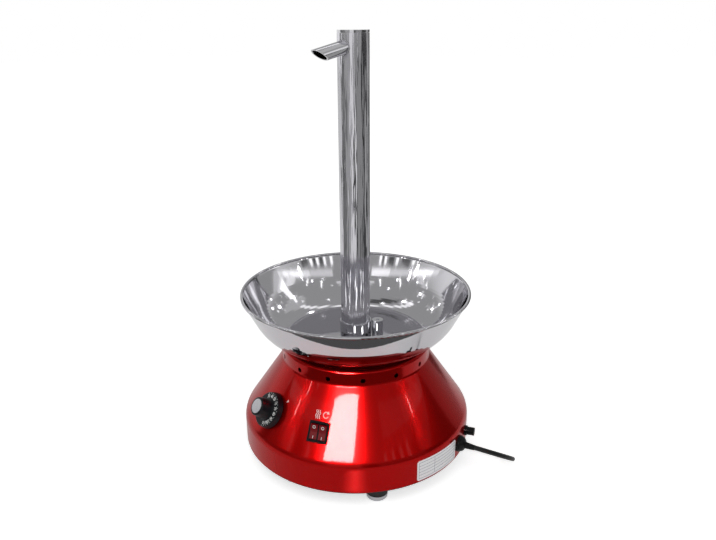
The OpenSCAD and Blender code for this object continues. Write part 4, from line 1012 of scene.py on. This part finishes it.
def make_bowl_lamps(mirrors, mirrors_and_lacquer):
    """Small lamps for glints: bright ones in bowl and lacquer, small ones and stars in the bowl."""
    for i, (az, elevation) in enumerate(BRIGHT_LAMPS):
        place = around(az, elevation, LAMP_DISTANCE)
        softbox(
            f"bright_lamp_{i + 1}", place, LAMP_AIM, width=0.045, height=0.085, brightness=45,
            kept_for=mirrors_and_lacquer,
        )
    for i, (az, elevation) in enumerate(SMALL_LAMPS):
        place = around(az, elevation, LAMP_DISTANCE)
        softbox(
            f"small_lamp_{i + 1}", place, LAMP_AIM, width=0.05, height=0.05, brightness=10,
            kept_for=mirrors,
        )
    for i, (az, elevation) in enumerate(STAR_LAMPS):
        place = around(az, elevation, LAMP_DISTANCE)
        softbox(
            f"star_lamp_{i + 1}", place, LAMP_AIM, width=0.09, height=0.09, brightness=12,
            kept_for=mirrors,
        )
        for turn in STAR_TURNS:
            softbox(
                f"star_ray_{i + 1}_{turn}", place, LAMP_AIM, width=0.018, height=0.7, brightness=2.5,
                kept_for=mirrors, turn=turn,
            )


def make_close_lamps():
    """Small lamps close to the column's foot, the collar and the sensor pocket."""
    column = lit_pieces("column_alone", "column_tube")
    for i, (az, level) in enumerate(COLUMN_LAMPS):
        place = polar(COLUMN_LAMP_R, az, COLUMN_LAMP_Z)
        softbox(
            f"column_lamp_{i + 1}", place, COLUMN_AIM, width=0.01, height=0.05, brightness=level,
            kept_for=column,
        )
    fittings = lit_pieces("bowl_fittings", "collar", "sensor_pocket")
    for name in ("collar", "sensor_pocket"):
        low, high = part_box(name)
        middle = (low + high) / 2
        place = Vector((middle.x, low.y, low.z)) + Vector(FITTING_LAMP_OFF)
        softbox(f"{name}_lamp", place, middle, width=0.009, height=0.009, brightness=4, kept_for=fittings)


def make_studio():
    make_world()
    make_floor()
    make_table_cards()
    for i, (start, end, level) in enumerate(SIDE_CARDS):
        low = [polar(SIDE_FOOT[0], az, SIDE_FOOT[1]) for az in (start, end)]
        high = [polar(SIDE_TOP[0], az, SIDE_TOP[1]) for az in (end, start)]
        make_card(f"side_card_{i + 1}", low + high, level)
    for i, card in enumerate(HIGH_CARDS):
        make_high_card(f"high_card_{i + 1}", *card)
    lacquered = lit_pieces("lacquered_pieces", "housing_shell")
    mirrors = lit_pieces("bowl_pieces", "bowl", "collar", "sensor_pocket")
    mirrors_and_lacquer = lit_pieces("bowl_and_housing", "bowl", "collar", "sensor_pocket", "housing_shell")
    make_wall_cards(mirrors)
    make_card("window_card", WINDOW, WINDOW_LEVEL, True, lacquered)
    key_place = around(az=-25, elevation=55, distance=SOFTBOX_DISTANCE)
    softbox("key_lamp", key_place, LAMP_AIM, width=1.6, height=1.6, brightness=1.3)
    fill_place = around(az=50, elevation=30, distance=SOFTBOX_DISTANCE)
    softbox("fill_lamp", fill_place, LAMP_AIM, width=1.2, height=1.2, brightness=0.75)
    make_bowl_lamps(mirrors, mirrors_and_lacquer)
    make_close_lamps()


def make_printing():
    # Screen ink: white and satin, a thin even film
    white_ink = moulded("white_screen_print", "#f4f4f2", roughness=0.45, grain_mm=0.5, bump_mm=0.004)
    # Screen ink: pale grey and satin
    grey_ink = moulded("grey_screen_print", "#a8a8b0", roughness=0.45, grain_mm=0.5, bump_mm=0.004)
    # Cast vinyl film: white with a soft shine
    label_vinyl = moulded("white_vinyl_label", "#f8f8fa", roughness=0.4, grain_mm=1.2, bump_mm=0.004)
    make_dial_print(white_ink)
    make_index_mark(white_ink)
    make_switch_symbols(white_ink)
    make_rocker_marks(white_ink)
    make_label(label_vinyl, grey_ink)


make_camera()
# Vinyl extruded over the wires: black with a soft shine
make_mains_lead(moulded("extruded_vinyl_cord", "#121212", roughness=0.45, grain_mm=0.8, bump_mm=0.01))
dress_nodes()
make_printing()
# Stainless weld bead, brushed clean: a duller grey than the tube
make_spout_weld(plain_metal("welded_stainless", "#b8b8bc", roughness=0.25, grain_mm=0.8, spread=0.1))
make_studio()
bpy.context.scene.view_settings.view_transform = "Standard"
